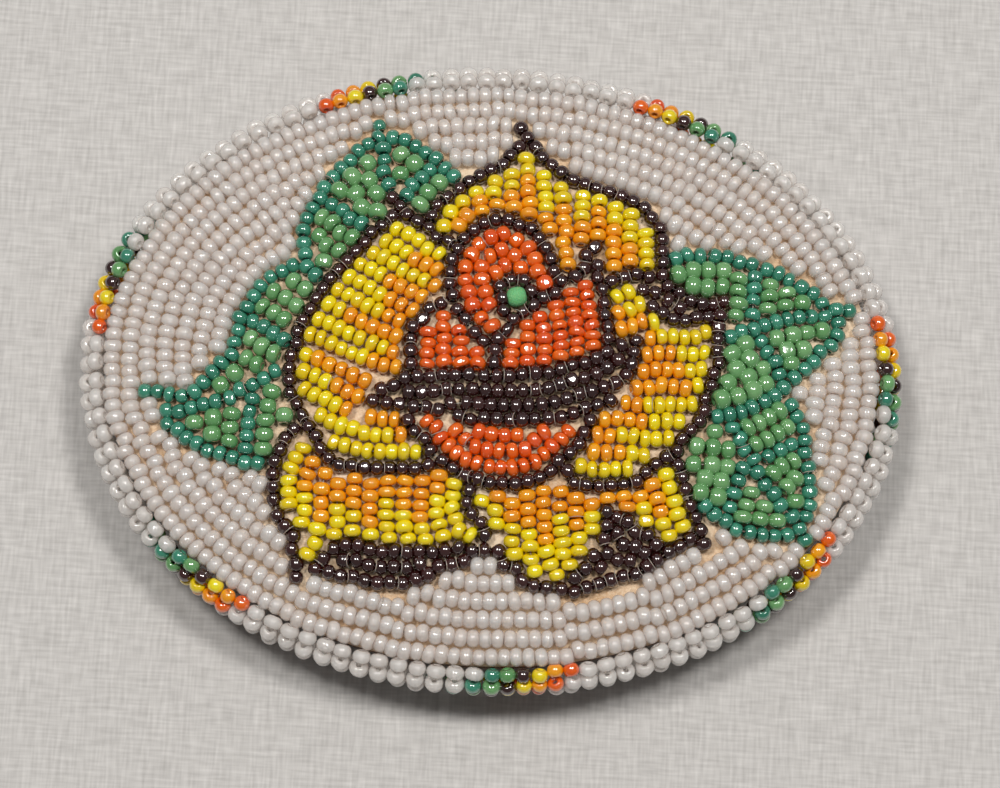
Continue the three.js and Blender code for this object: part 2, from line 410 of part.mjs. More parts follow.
// Rolled edge: each run of stitches sweeps a C of beads along the rim
function rimPoint(turn) {
  return new THREE.Vector2(rollA * Math.cos(turn), rollB * Math.sin(turn));
}
function rimOut(turn) {
  return new THREE.Vector2(rollB * Math.cos(turn), rollA * Math.sin(turn)).normalize();
}
const rimSteps = 3600;
const rimLengths = [0];
for (let i = 1; i <= rimSteps; i += 1) {
  const [before, here] = [i - 1, i].map((step) => rimPoint((2 * Math.PI * step) / rimSteps));
  rimLengths.push(rimLengths[i - 1] + here.distanceTo(before));
}
function turnAt(length) {
  const total = rimLengths[rimSteps];
  const wrapped = ((length % total) + total) % total;
  const index = rimLengths.findIndex((value) => value > wrapped) - 1;
  const part = (wrapped - rimLengths[index]) / (rimLengths[index + 1] - rimLengths[index]);
  return (2 * Math.PI * (index + part)) / rimSteps + 2 * Math.PI * Math.floor(length / total);
}
function edgeRun(from, to, steps) {
  const wrap = [-86, -43, 0, 43, 86].map((degrees) => (degrees * Math.PI) / 180);
  const ring = (radius) => wrap.map((a) => new THREE.Vector2(radius * Math.cos(a), radius * Math.sin(a)));
  const outline = [...ring(rollRadius + edgeBead), ...ring(rollRadius - edgeBead).reverse()];
  const geometry = new THREE.ExtrudeGeometry(new THREE.Shape(outline), { depth: 1, steps, bevelEnabled: false });
  const place = geometry.attributes.position;
  for (let i = 0; i < place.count; i += 1) {
    const turn = turnAt(from + (to - from) * place.getZ(i));
    const point = rimPoint(turn).addScaledVector(rimOut(turn), place.getX(i));
    place.setXYZ(i, point.x, point.y, rollZ + place.getY(i));
  }
  return toSolid(geometry);
}
const rimTotal = rimLengths[rimSteps];
const accentRun = accentStitches * accentPitch;
const accentMiddles = accentTurns.map((turn) => rimLengths[Math.round((rimSteps * turn) / 360)]);
accentMiddles.forEach((middle, i) => {
  const next = i + 1 < accentMiddles.length ? accentMiddles[i + 1] : accentMiddles[0] + rimTotal;
  addPiece(`edge_accent_${i + 1}`, 'orange', edgeRun(middle - accentRun / 2 + gap / 2,
    middle + accentRun / 2 - gap / 2, 3));
  addPiece(`edge_white_${i + 1}`, 'clear', edgeRun(middle + accentRun / 2 + gap / 2,
    next - accentRun / 2 - gap / 2, 6));
});

// Ears, bail and hook stud
for (const [name, side] of [['bail_ear_upper', 1], ['bail_ear_lower', -1]]) {
  const lug = new THREE.Shape();
  const foot = flangeZ + flangeThickness / 2;
  lug.moveTo(hingeX - earRadius - 0.6, foot);
  lug.lineTo(hingeX - earRadius, hingeZ);
  lug.absarc(hingeX, hingeZ, earRadius, Math.PI, 2 * Math.PI);
  lug.lineTo(hingeX + earRadius + 0.6, foot);
  lug.holes.push(new THREE.Path().absarc(hingeX, hingeZ, wireRadius + pinClearance, 0, 2 * Math.PI));
  const geometry = new THREE.ExtrudeGeometry(lug, { depth: earThickness, curveSegments: 10, bevelEnabled: false });
  geometry.rotateX(Math.PI / 2);
  geometry.translate(0, side * earY + earThickness / 2, 0);
  const flange = box(hingeX, side * earY, flangeZ + flangeThickness / 2, earFlangeLength, earFlangeWidth,
    flangeThickness);
  addPiece(name, 'steel', toSolid(geometry).add(flange));
}

const barX = hingeX + bailReach;
const barZ = rollZ - rollRadius - edgeBead - restGap - wireRadius;
const armY = bailInnerWidth / 2 + wireRadius;
const pinEndY = earY + earThickness / 2 - 0.2;
const corner = (from, bend, to) => new THREE.QuadraticBezierCurve3(from, bend, to);
const wire = new THREE.CurvePath();
const at = (x, y, z) => new THREE.Vector3(x, y, z);
const slope = (barZ - hingeZ) / bailReach;
const armIn = (x) => hingeZ + slope * (x - hingeX);
for (const side of [-1, 1]) {
  const pinEnd = at(hingeX, side * pinEndY, hingeZ);
  const pinBend = at(hingeX, side * (armY + wireRadius * 1.2), hingeZ);
  const armStart = at(hingeX + wireRadius * 1.2, side * armY, armIn(hingeX + wireRadius * 1.2));
  const armEnd = at(barX - bendRadius, side * armY, armIn(barX - bendRadius));
  const barStart = at(barX, side * (armY - bendRadius), barZ);
  const pieces = [new THREE.LineCurve3(pinEnd, pinBend), corner(pinBend, at(hingeX, side * armY, hingeZ), armStart),
    new THREE.LineCurve3(armStart, armEnd), corner(armEnd, at(barX, side * armY, barZ), barStart)];
  if (side < 0) {
    pieces.forEach((piece) => wire.add(piece));
    wire.add(new THREE.LineCurve3(barStart, at(barX, armY - bendRadius, barZ)));
  } else {
    for (const piece of pieces.reverse()) {
      wire.add(piece.isLineCurve3 ? new THREE.LineCurve3(piece.v2, piece.v1) : corner(piece.v2, piece.v1, piece.v0));
    }
  }
}
const wireRound = new THREE.Shape().absarc(0, 0, wireRadius, 0, 2 * Math.PI);
const bail = new THREE.ExtrudeGeometry(wireRound, { steps: 36, curveSegments: 4, extrudePath: wire });
addPiece('belt_bail', 'steel', toSolid(bail));

const studTop = flangeZ + flangeThickness;
const stud = new THREE.LatheGeometry([[0, 0], [studHeadRadius * 0.6, 0], [studHeadRadius, studHeadHeight * 0.45],
  [studHeadRadius * 0.9, studHeadHeight * 0.8], [studRadius, studHeadHeight], [studRadius, flangeZ],
  [studFlangeRadius, flangeZ], [studFlangeRadius, studTop], [0, studTop]].map(([r, z]) => new THREE.Vector2(r, z)), 20);
stud.rotateX(Math.PI / 2);
stud.translate(studX, 0, 0);
addPiece('hook_stud', 'steel', toSolid(stud));

export default buckle;
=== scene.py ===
# Oval beaded belt buckle: seed beads laid down in lanes on domed hide, a rolled bead edge, and a
# leather back with a swinging steel bail and a hook stud. Metres, the beaded front faces +Z.
import math

import bpy
import numpy as np
from mathutils import Matrix, Vector
from mathutils.kdtree import KDTree


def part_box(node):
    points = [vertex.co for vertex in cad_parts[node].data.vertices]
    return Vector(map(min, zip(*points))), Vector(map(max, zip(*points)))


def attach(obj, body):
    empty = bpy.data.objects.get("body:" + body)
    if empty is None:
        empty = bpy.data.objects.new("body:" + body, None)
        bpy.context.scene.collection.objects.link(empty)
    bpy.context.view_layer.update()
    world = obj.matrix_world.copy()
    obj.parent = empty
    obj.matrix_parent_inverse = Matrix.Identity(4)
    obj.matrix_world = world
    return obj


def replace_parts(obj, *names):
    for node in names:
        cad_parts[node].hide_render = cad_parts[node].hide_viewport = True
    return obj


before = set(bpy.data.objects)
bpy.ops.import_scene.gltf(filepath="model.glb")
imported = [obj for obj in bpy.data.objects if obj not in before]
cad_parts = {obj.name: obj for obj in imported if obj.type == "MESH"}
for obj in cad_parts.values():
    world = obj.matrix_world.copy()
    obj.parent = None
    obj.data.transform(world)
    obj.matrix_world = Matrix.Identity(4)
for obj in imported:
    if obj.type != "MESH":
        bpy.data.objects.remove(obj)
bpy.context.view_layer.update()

mm = 0.001
rng = np.random.default_rng(1907)
bpy.context.scene.view_settings.view_transform = "Standard"


# Small helpers
def toLinear(hexText):
    parts = [int(hexText[i:i + 2], 16) / 255 for i in (1, 3, 5)]
    return tuple([c / 12.92 if c <= 0.04045 else ((c + 0.055) / 1.055) ** 2.4 for c in parts] + [1.0])


def addNode(tree, kind, inputs=None, **settings):
    node = tree.nodes.new("ShaderNode" + kind)
    for name, value in settings.items():
        setattr(node, name, value)
    for name, value in (inputs or {}).items():
        if isinstance(value, bpy.types.NodeSocket):
            tree.links.new(value, node.inputs[name])
        else:
            node.inputs[name].default_value = value
    return node


def newMaterial(name, fixed):
    material = bpy.data.materials.new(name)
    material.use_nodes = True
    shader = material.node_tree.nodes["Principled BSDF"]
    for socket, value in fixed.items():
        shader.inputs[socket].default_value = value
    return material, material.node_tree, shader


def addMesh(name, points, faces, material, body="root", smooth=True):
    mesh = bpy.data.meshes.new(name)
    mesh.from_pydata([tuple(p) for p in points], [], [tuple(f) for f in faces])
    mesh.polygons.foreach_set("use_smooth", [smooth] * len(mesh.polygons))
    mesh.materials.append(material)
    mesh.update()
    piece = bpy.data.objects.new(name, mesh)
    bpy.context.scene.collection.objects.link(piece)
    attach(piece, body)
    return piece


# Camera
camera = {"tilt": 14.0, "roll": 2.6, "distance": 0.38, "lens": 110.8, "sensor": 36,
          "aim": (0.0012, -0.0026, 0.011)}
tilt, roll = math.radians(camera["tilt"]), math.radians(camera["roll"])
back = Vector((0, -math.sin(tilt), math.cos(tilt)))
level, upright = Vector((1, 0, 0)), back.cross(Vector((1, 0, 0)))
right = level * math.cos(roll) + upright * math.sin(roll)
up = upright * math.cos(roll) - level * math.sin(roll)
cameraData = bpy.data.cameras.new("front_camera")
cameraData.lens, cameraData.sensor_width = camera["lens"], camera["sensor"]
cameraData.clip_start, cameraData.clip_end = 0.02, 20
cameraObject = bpy.data.objects.new("front_camera", cameraData)
cameraObject.matrix_world = Matrix.Translation(Vector(camera["aim"]) + back * camera["distance"]) @ Matrix(
    (right, up, back)).transposed().to_4x4()
bpy.context.scene.collection.objects.link(cameraObject)
bpy.context.scene.camera = cameraObject
print("camera placed")

# Glass
# Drawn glass cane, cut and tumbled: round shoulders, a small hole, fine streaks along the cane.
# deep and light are the two ends of the batch's colour, seen how much of what lies under is hidden.
glass = {
    "clear": {"deep": "#fae8de", "light": "#fff6f0", "scatter": 0.7, "depth": 2.5, "seen": 0.56, "rough": 0.1,
              "tint": (1.0, 0.9, 0.82)},
    "rim": {"deep": "#efe5de", "light": "#fff7f0", "scatter": 0.8, "depth": 2.5, "seen": 0.6, "rough": 0.08,
            "tint": (1.0, 0.95, 0.92)},
    "yellow": {"deep": "#e0be00", "light": "#f2de00", "scatter": 0.05, "depth": 0.3, "seen": 1.0,
               "rough": 0.1, "tint": (1.0, 0.6, 0.1)},
    "orange": {"deep": "#e68a00", "light": "#f4a600", "scatter": 0.05, "depth": 0.3, "seen": 1.0,
               "rough": 0.1, "tint": (1.0, 0.4, 0.1)},
    "red": {"deep": "#d84600", "light": "#ea6a00", "scatter": 0.0, "depth": 0.3, "seen": 1.0, "rough": 0.12,
            "tint": (1.0, 0.3, 0.1)},
    "dark": {"deep": "#240808", "light": "#381210", "scatter": 0.0, "depth": 0.2, "seen": 1.0, "rough": 0.08,
             "tint": (1.0, 0.2, 0.2)},
    "teal": {"deep": "#29735c", "light": "#409076", "scatter": 0.1, "depth": 0.3, "seen": 1.0, "rough": 0.1,
             "tint": (0.3, 1.0, 0.7)},
    "green": {"deep": "#548f53", "light": "#7aac72", "scatter": 0.12, "depth": 0.3, "seen": 1.0,
              "rough": 0.14, "tint": (0.5, 1.0, 0.6)},
}
caneStreak = 0.16  # mm between streaks, several times the real ones so that they show


def drawnGlass(name, look):
    material, tree, shader = newMaterial(name, {
        "IOR": 1.52, "Coat Weight": 1.0, "Coat Roughness": 0.1, "Coat IOR": 1.95, "Alpha": look["seen"],
        "Subsurface Weight": look["scatter"], "Subsurface Scale": look["depth"] * mm,
        "Subsurface Radius": look["tint"]})
    # bead holds each bead's own tone, the place along its cane, and the turn round it
    bead = addNode(tree, "Attribute", attribute_name="bead")
    parts = addNode(tree, "SeparateColor", {"Color": bead.outputs["Color"]})
    around = addNode(tree, "CombineXYZ", {"X": parts.outputs["Blue"], "Y": bead.outputs["Alpha"],
                                          "Z": parts.outputs["Red"]})
    streaks = addNode(tree, "TexNoise", {"Vector": around.outputs["Vector"], "Scale": 1.1 / caneStreak,
                                         "Detail": 3.0, "Roughness": 0.6})
    tone = addNode(tree, "Math", {0: parts.outputs["Red"], 1: streaks.outputs["Fac"]}, operation="ADD")
    spread = addNode(tree, "MapRange", {"Value": tone.outputs["Value"], "From Min": 0.25, "From Max": 1.75})
    colour = addNode(tree, "Mix", {"Factor": spread.outputs["Result"], "A": toLinear(look["deep"]),
                                   "B": toLinear(look["light"])}, data_type="RGBA")
    # painted shade: each bead's colour is darkened towards its two ends, where it meets its neighbours and
    # shade falls
    fromMiddle = addNode(tree, "Math", {0: parts.outputs["Green"], 1: 0.5}, operation="SUBTRACT")
    endShadeShare = addNode(tree, "Math", {0: fromMiddle.outputs["Value"]}, operation="ABSOLUTE")
    ends = addNode(tree, "MapRange", {"Value": endShadeShare.outputs["Value"], "From Min": 0.3, "From Max": 0.52,
                                      "To Max": 0.38})
    shaded = addNode(tree, "Mix", {"Factor": ends.outputs["Result"], "A": colour.outputs["Result"],
                                   "B": toLinear(look["deep"])}, data_type="RGBA", blend_type="MULTIPLY")
    tree.links.new(shaded.outputs["Result"], shader.inputs["Base Color"])
    rough = addNode(tree, "MapRange", {"Value": streaks.outputs["Fac"], "To Min": look["rough"] * 0.7,
                                       "To Max": look["rough"] * 1.4})
    tree.links.new(rough.outputs["Result"], shader.inputs["Roughness"])
    place = addNode(tree, "TexCoord")
    lumps = addNode(tree, "TexNoise", {"Vector": place.outputs["Object"], "Scale": 1 / (1.3 * mm),
                                       "Detail": 1.0})
    uneven = addNode(tree, "Math", {0: lumps.outputs["Fac"], 1: streaks.outputs["Fac"],
                                    2: lumps.outputs["Fac"]}, operation="MULTIPLY_ADD")
    bump = addNode(tree, "Bump", {"Height": uneven.outputs["Value"], "Strength": 0.1, "Distance": 0.04 * mm})
    tree.links.new(bump.outputs["Normal"], shader.inputs["Normal"])
    return material


glassNames = {"clear": "milky_drawn_glass", "rim": "white_opal_glass", "yellow": "opaque_yellow_glass",
              "orange": "opaque_orange_glass",
              "red": "coral_opal_glass", "dark": "garnet_glass", "teal": "teal_glass",
              "green": "sea_green_glass"}
glassMaterials = {key: drawnGlass(glassNames[key], look) for key, look in glass.items()}

# Etched sea-green glass: the acid leaves it matt and finely grained, with no sharp glint
frosted, tree, shader = newMaterial("etched_green_glass",
                                    {"Roughness": 0.62, "IOR": 1.5, "Subsurface Weight": 0.25,
                                     "Subsurface Scale": 0.4 * mm})
place = addNode(tree, "TexCoord")
grains = addNode(tree, "TexVoronoi", {"Vector": place.outputs["Object"], "Scale": 1 / (0.16 * mm)})
tinted = addNode(tree, "Mix", {"Factor": grains.outputs["Distance"], "A": toLinear("#58a866"),
                               "B": toLinear("#7cc487")}, data_type="RGBA")
tree.links.new(tinted.outputs["Result"], shader.inputs["Base Color"])
bump = addNode(tree, "Bump", {"Height": grains.outputs["Distance"], "Strength": 0.8, "Distance": 0.08 * mm})
tree.links.new(bump.outputs["Normal"], shader.inputs["Normal"])
print("glass mixed")

# The domed ground that every bead sits on
# mm: outside is the hide beyond the field's edge, inset the leather's edge inside the centre of the
# rolled edge, and overRoll the hide's rim above that centre
ground = {"rise": 4.5, "power": 2.6, "outside": 0.65, "inset": 0.65, "overRoll": 0.95}
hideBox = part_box("hide_ground")
fieldA = hideBox[1].x / mm - ground["outside"]
fieldB = hideBox[1].y / mm - ground["outside"]
faceZ = hideBox[1].z / mm - ground["rise"]
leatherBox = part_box("leather_back")
rollA, rollB = leatherBox[1].x / mm + ground["inset"], leatherBox[1].y / mm + ground["inset"]
rollZ = faceZ - ground["overRoll"]


def crown(x, y):
    share = np.sqrt((np.asarray(x) / fieldA) ** 2 + (np.asarray(y) / fieldB) ** 2)
    return ground["rise"] * (1 - share ** ground["power"])


def outward(x, y):
    step = 0.05
    slopeX = (crown(x + step, y) - crown(x - step, y)) / (2 * step)
    slopeY = (crown(x, y + step) - crown(x, y - step)) / (2 * step)
    normal = np.stack([-slopeX, -slopeY, np.ones_like(slopeX)], axis=-1)
    return normal / np.linalg.norm(normal, axis=-1, keepdims=True)


# Beads: sizes in mm, across the hole axis and along it
beadSizes = {"clear": (2.3, 1.6), "yellow": (2.16, 1.56), "orange": (2.16, 1.56), "red": (2.1, 1.5),
             "dark": (1.9, 1.56), "teal": (2.0, 1.56), "green": (2.36, 1.9)}
beadShape = {"sides": 18, "hole": 0.4, "squareness": 2.08, "outline": 9, "sizeSpread": 0.045,
             "lengthSpread": 0.1, "tilt": 6.5}
roseDrop = 0.6  # mm, the rose and its leaves below the middle
placed = []  # one dictionary for each bead of the front: piece, kind, x, y, aim, across, along


def addRun(piece, kinds, points, fixedPitch=None, avoid=False):
    line = np.array(points, float).reshape(-1, 2) - (0, roseDrop)
    legs = np.linalg.norm(np.diff(line, axis=0), axis=1)
    length = np.concatenate([[0], np.cumsum(legs)])
    count = len(kinds) if fixedPitch is None else max(2, round(length[-1] / fixedPitch) + 1)
    run = []
    for i in range(count):
        s = length[-1] * i / max(count - 1, 1)
        leg = min(max(np.searchsorted(length, s) - 1, 0), max(len(legs) - 1, 0))
        if len(line) == 1:
            at, aim = line[0], np.array([0.0, 1.0])
        else:
            aim = (line[leg + 1] - line[leg]) / legs[leg]
            at = line[leg] + aim * (s - length[leg])
        kind = kinds if fixedPitch else kinds[i]
        across, along = beadSizes[kind]
        if avoid and any(np.hypot(*(at - other["at"])) < 1.12 for other in placed if other["strand"]):
            continue
        if count > 1 and not fixedPitch:
            along = min(max(length[-1] / (count - 1), 0.86 * along), 1.12 * along)
        run.append({"piece": piece, "kind": kind, "at": at.copy(), "home": at.copy(), "aim": aim,
                    "across": across, "along": along, "strand": bool(fixedPitch),
                    "run": len(placed) and placed[-1]["run"] + 1})
    for bead in run:
        bead["run"] = run[0]["run"]
    placed.extend(run)

# Lanes of petal and leaf beads: x and y of the points that each runs through, then its beads
# (Y yellow, O orange, R coral red, G sea green)
panels = {
    "petal_top": [
        [-6, 19.6, -6.4, 17.6, "YY"], [-4.5, 21, -4.1, 19.4, -5.1, 17.8, "YOO"],
        [-2.9, 22.5, -2.4, 20, "YOO"], [-0.5, 24, -0.5, 20.8, "YYO"], [1.5, 25.2, 1.5, 20.8, "YYOO"],
        [3.2, 27.4, 3.6, 19.8, "YYOOOO"], [5.4, 25.2, 5.7, 21, 6.2, 17.8, "YYYYOO"],
        [7.8, 23.8, 8.6, 13.3, "YYOOOOOO"], [10.4, 22.8, 10.3, 17, "YYYOO"],
        [12.5, 22.2, 12.2, 17.6, "YOOO"], [14.5, 21.5, 14.5, 13.6, "YYOOOO"],
        [16.3, 20.6, 16.4, 14.4, "YYYOO"], [18.2, 18.3, 18.5, 14.2, "YYYY"]],
    "petal_left": [
        [-12.5, 17.6, -7.3, 13.9, "YYYYY"], [-13.6, 15.7, -7.4, 11.8, "YYYOOO"],
        [-15.2, 14.1, -7.3, 9.9, "YYYYYYO"], [-16.7, 12.6, -9.1, 8.3, "YYYOOOO"],
        [-18, 10.9, -10.2, 6.6, "YYYYOOO"], [-19.1, 9.2, -11.4, 5, "YYYYYOO"],
        [-20.3, 7.2, -11.9, 3, "YYOOOOO"], [-21.4, 5.3, -12.4, 1.2, "YYYYYYYO"],
        [-22.3, 3.2, -11.6, -0.5, "YYYYYYOOO"], [-22.8, 0.7, -15.3, -2.4, "YOOOOO"],
        [-22.9, -1.4, -16.1, -4.5, "YYYOOO"], [-22.6, -3.7, -17.4, -6.2, "YYYYO"],
        [-14.2, -7, -11.3, -7.2, "OOO"], [-20.6, -7, -15.5, -8.7, -10.6, -9, "YYYYYYYO"],
        [-18.8, -10.2, -14.4, -11.1, -8.7, -10.8, "YYYYYYYY"]],
    "petal_right": [
        [15.1, 9.6, 16.4, 10.4, "YY"], [15.2, 7.5, 16.6, 8.3, 17.9, 8.7, "OYY"],
        [15.8, 5.7, 19.8, 6.9, "OOOY"], [19.3, 5, 23.5, 5, 26.3, 5.7, "OYYYYY"],
        [18.8, 2.8, 26.1, 3, "OOOYYY"], [18.4, 0.7, 25.9, 0.9, "OOOOYY"],
        [17.9, -2, 20.7, -1.2, 25.5, -1.2, "OOOOOY"], [16.6, -3.8, 24.8, -3.6, "OOYYYYY"],
        [14, -6, 23.3, -5.7, "OOOOYYY"], [13.2, -8, 21.9, -7.9, "OOYYYYY"],
        [12.9, -10, 19, -10.3, "OOOYY"], [11.4, -11.9, 17.2, -11.8, "YYYYY"]],
    "petal_lower_left": [
        [-22.4, -11, -23.9, -14.9, -23.6, -18, "YYYYYY"], [-21.3, -12.7, -22, -20, "OOOYYY"],
        [-19.7, -14.1, -20, -19.2, -20.2, -22, -21.2, -23.9, "OOOOYYY"],
        [-17.8, -15, -18, -21.2, "OOYYY"], [-15.9, -14.8, -15.9, -20.8, "OOOYY"],
        [-13.9, -14.8, -13.8, -21.1, "OOOOY"], [-11.9, -14.7, -11.5, -21.7, "OOYYYY"],
        [-9.9, -14.6, -9.2, -21.8, "OOOYYY"], [-7.8, -14.5, -7.2, -21.8, "OOOOYY"],
        [-5.7, -14, -6, -17.5, -5, -21.2, "OOYYYY"],
        [-3.8, -14.8, -4.1, -17.5, -3.1, -20.1, -1.7, -21, "YYYYYY"]],
    "petal_lower_middle": [
        [-0.4, -16.5, "Y"], [1.3, -16.3, 1.5, -19.5, "OYY"], [3.3, -16.5, 3.7, -22.7, "OOYYY"],
        [5.1, -15.7, 6.1, -24.7, "OOOYYYY"], [7.1, -15.3, 7.4, -22, 8.8, -25.2, "OOOOOYYY"],
        [9, -15.3, 10.2, -23.8, "OOYYYYY"], [10.9, -16, 11.9, -22.2, "OOOYY"],
        [12.9, -16, 13.3, -19, "OYY"]],
    "petal_lower_right": [
        [15, -15.8, "O"], [16.8, -15.3, 17, -16.7, "OO"], [18.7, -14.9, 19.4, -18, "OYY"],
        [20.4, -13.8, 22.2, -19.8, "OOOYY"], [21.8, -12.3, 23.9, -18.5, "YYYYY"]],
    "centre_curl": [
        [6.1, 11, 4.9, 13.3, 3.7, 15.6, 1.3, 17, -1.2, 16.2, -3.1, 14.4, -3.7, 11.6, -3, 8.6,
         -1.1, 6, -0.3, 5, "RRRRRRRRRRRRRRR"],
        [2.9, 13, 2.6, 14.2, 1.2, 14.9, -1.1, 14, -1.9, 12.5, -1.7, 10, -0.7, 8.1, "RRRRRRRR"],
        [1.2, 12.9, -0.1, 12, "RR"]],
    "centre_left": [
        [-7.6, 4.1, -7.6, 0.1, "RRRR"], [-5.8, 6.1, -5.7, 0.4, "RRRRR"], [-4.3, 4.6, -3.8, 0.4, "RRRR"],
        [-2, 1.8, -2, 0.4, "RR"]],
    "centre_right": [
        [2.6, 3.3, 2.6, 0.7, "RRR"], [4.5, 5.4, 4.6, 1, "RRRR"], [5.9, 6.7, 6.5, 1.2, "RRRRR"],
        [7.6, 8.2, 8.3, 1.7, "RRRRRR"], [9.4, 9.8, 10.3, 2.4, "RRRRRRR"], [10.9, 10.8, 12.3, 3, "RRRRRRR"]],
    "centre_lower": [
        [-7.5, -7.1, -5.7, -8.9, -2.7, -11.5, 1.8, -12.5, 6.2, -11.2, 8.8, -8.7, 9.6, -7.5,
         "RRRRRRRRRRRRRRRR"],
        [-3.9, -7.8, -1.7, -9.6, 1.9, -10.4, 4.6, -9.9, 6.8, -8.1, "RRRRRRRRR"],
        [-1.2, -8.3, 0.9, -8.7, 3.6, -8.4, "RRRR"]],
    "leaf_a_upper": [
        [-12.7, 27.3, -11, 25.9, "GG"], [-12.2, 24.6, "G"]],
    "leaf_a_lower": [
        [-7.5, 23.6, -9.7, 20.5, "GGG"]],
    "leaf_b_upper": [
        [-16.6, 26, -19.5, 22.2, "GGG"], [-16.5, 23.4, -18, 21.5, "GG"], [-15.3, 22.2, -16.8, 20.3, "GG"],
        [-15.3, 19.3, "G"]],
    "leaf_b_lower": [
        [-22, 18.4, -18.2, 15.7, "GGGG"], [-22.1, 15.9, -19.8, 14, "GGG"], [-21.1, 12.6, "G"]],
    "leaf_c_upper": [
        [-24.8, 10.2, -23.3, 9.2, "GG"], [-27.4, 8.9, -24.4, 7, "GGG"], [-28.4, 6.9, -25.7, 5.1, "GGG"]],
    "leaf_c_middle": [
        [-29.8, 2.5, -26.6, 0.8, "GGG"], [-30.1, -0.1, -28.7, -0.7, "GG"],
        [-31.4, -1.9, -33.3, -3.3, "GG"]],
    "leaf_d_inner": [
        [-26.6, -4.2, -27.4, -11.4, "GGGGG"], [-24.9, -7, "G"]],
    "leaf_d_outer": [
        [-31.5, -7, -31.8, -10.3, "GGG"], [-33.7, -7.3, -33.5, -9.4, "GG"], [-35.8, -8.1, "G"]],
    "leaf_e_inner": [
        [22.3, 13.2, 28.2, 13.7, "GGGG"], [24.3, 12.1, 28.1, 11.8, "GGG"], [30.3, 13.2, 29.4, 8.4, "GGGG"]],
    "leaf_e_outer": [
        [33.9, 12.4, 33.7, 9.2, "GGG"], [35.8, 11.5, 35.9, 9.9, "GG"], [37.7, 10.8, "G"]],
    "leaf_f_outer": [
        [40.7, 7.2, 35.1, 5.5, "GGGG"], [38.3, 4.9, 36.1, 4.3, "GG"], [36.8, 3.1, "G"]],
    "leaf_f_inner": [
        [31.2, 4.6, 29.3, 3, "GG"], [31.9, 3, 30.3, 1.3, "GG"], [32.9, 1.6, 29.2, -0.6, "GGG"],
        [34, 0.1, 28.4, -2.6, "GGGG"]],
    "leaf_g_inner": [
        [27.5, -6.9, "G"], [25.3, -8.8, 29.4, -9, "GGG"], [25.2, -10.9, 29.1, -11.1, "GGG"],
        [26.6, -12.3, 28.7, -12.6, "GG"], [26.2, -13.8, 28.3, -14.2, "GG"]],
    "leaf_g_upper": [
        [35.1, -3.2, 31.6, -5.5, "GGGG"], [36.2, -5.1, 32.9, -7.5, "GGGG"]],
    "leaf_g_lower": [
        [32.4, -13.6, 31.6, -16.5, "GGG"], [34.2, -15, 33.7, -16.6, "GG"], [35.7, -16.8, "G"]],
    "leaf_g_outer": [
        [37.2, -9.3, 35.2, -11.2, "GGG"], [37.9, -11.6, 37, -12.7, "GG"], [38.1, -14.4, "G"]],
}
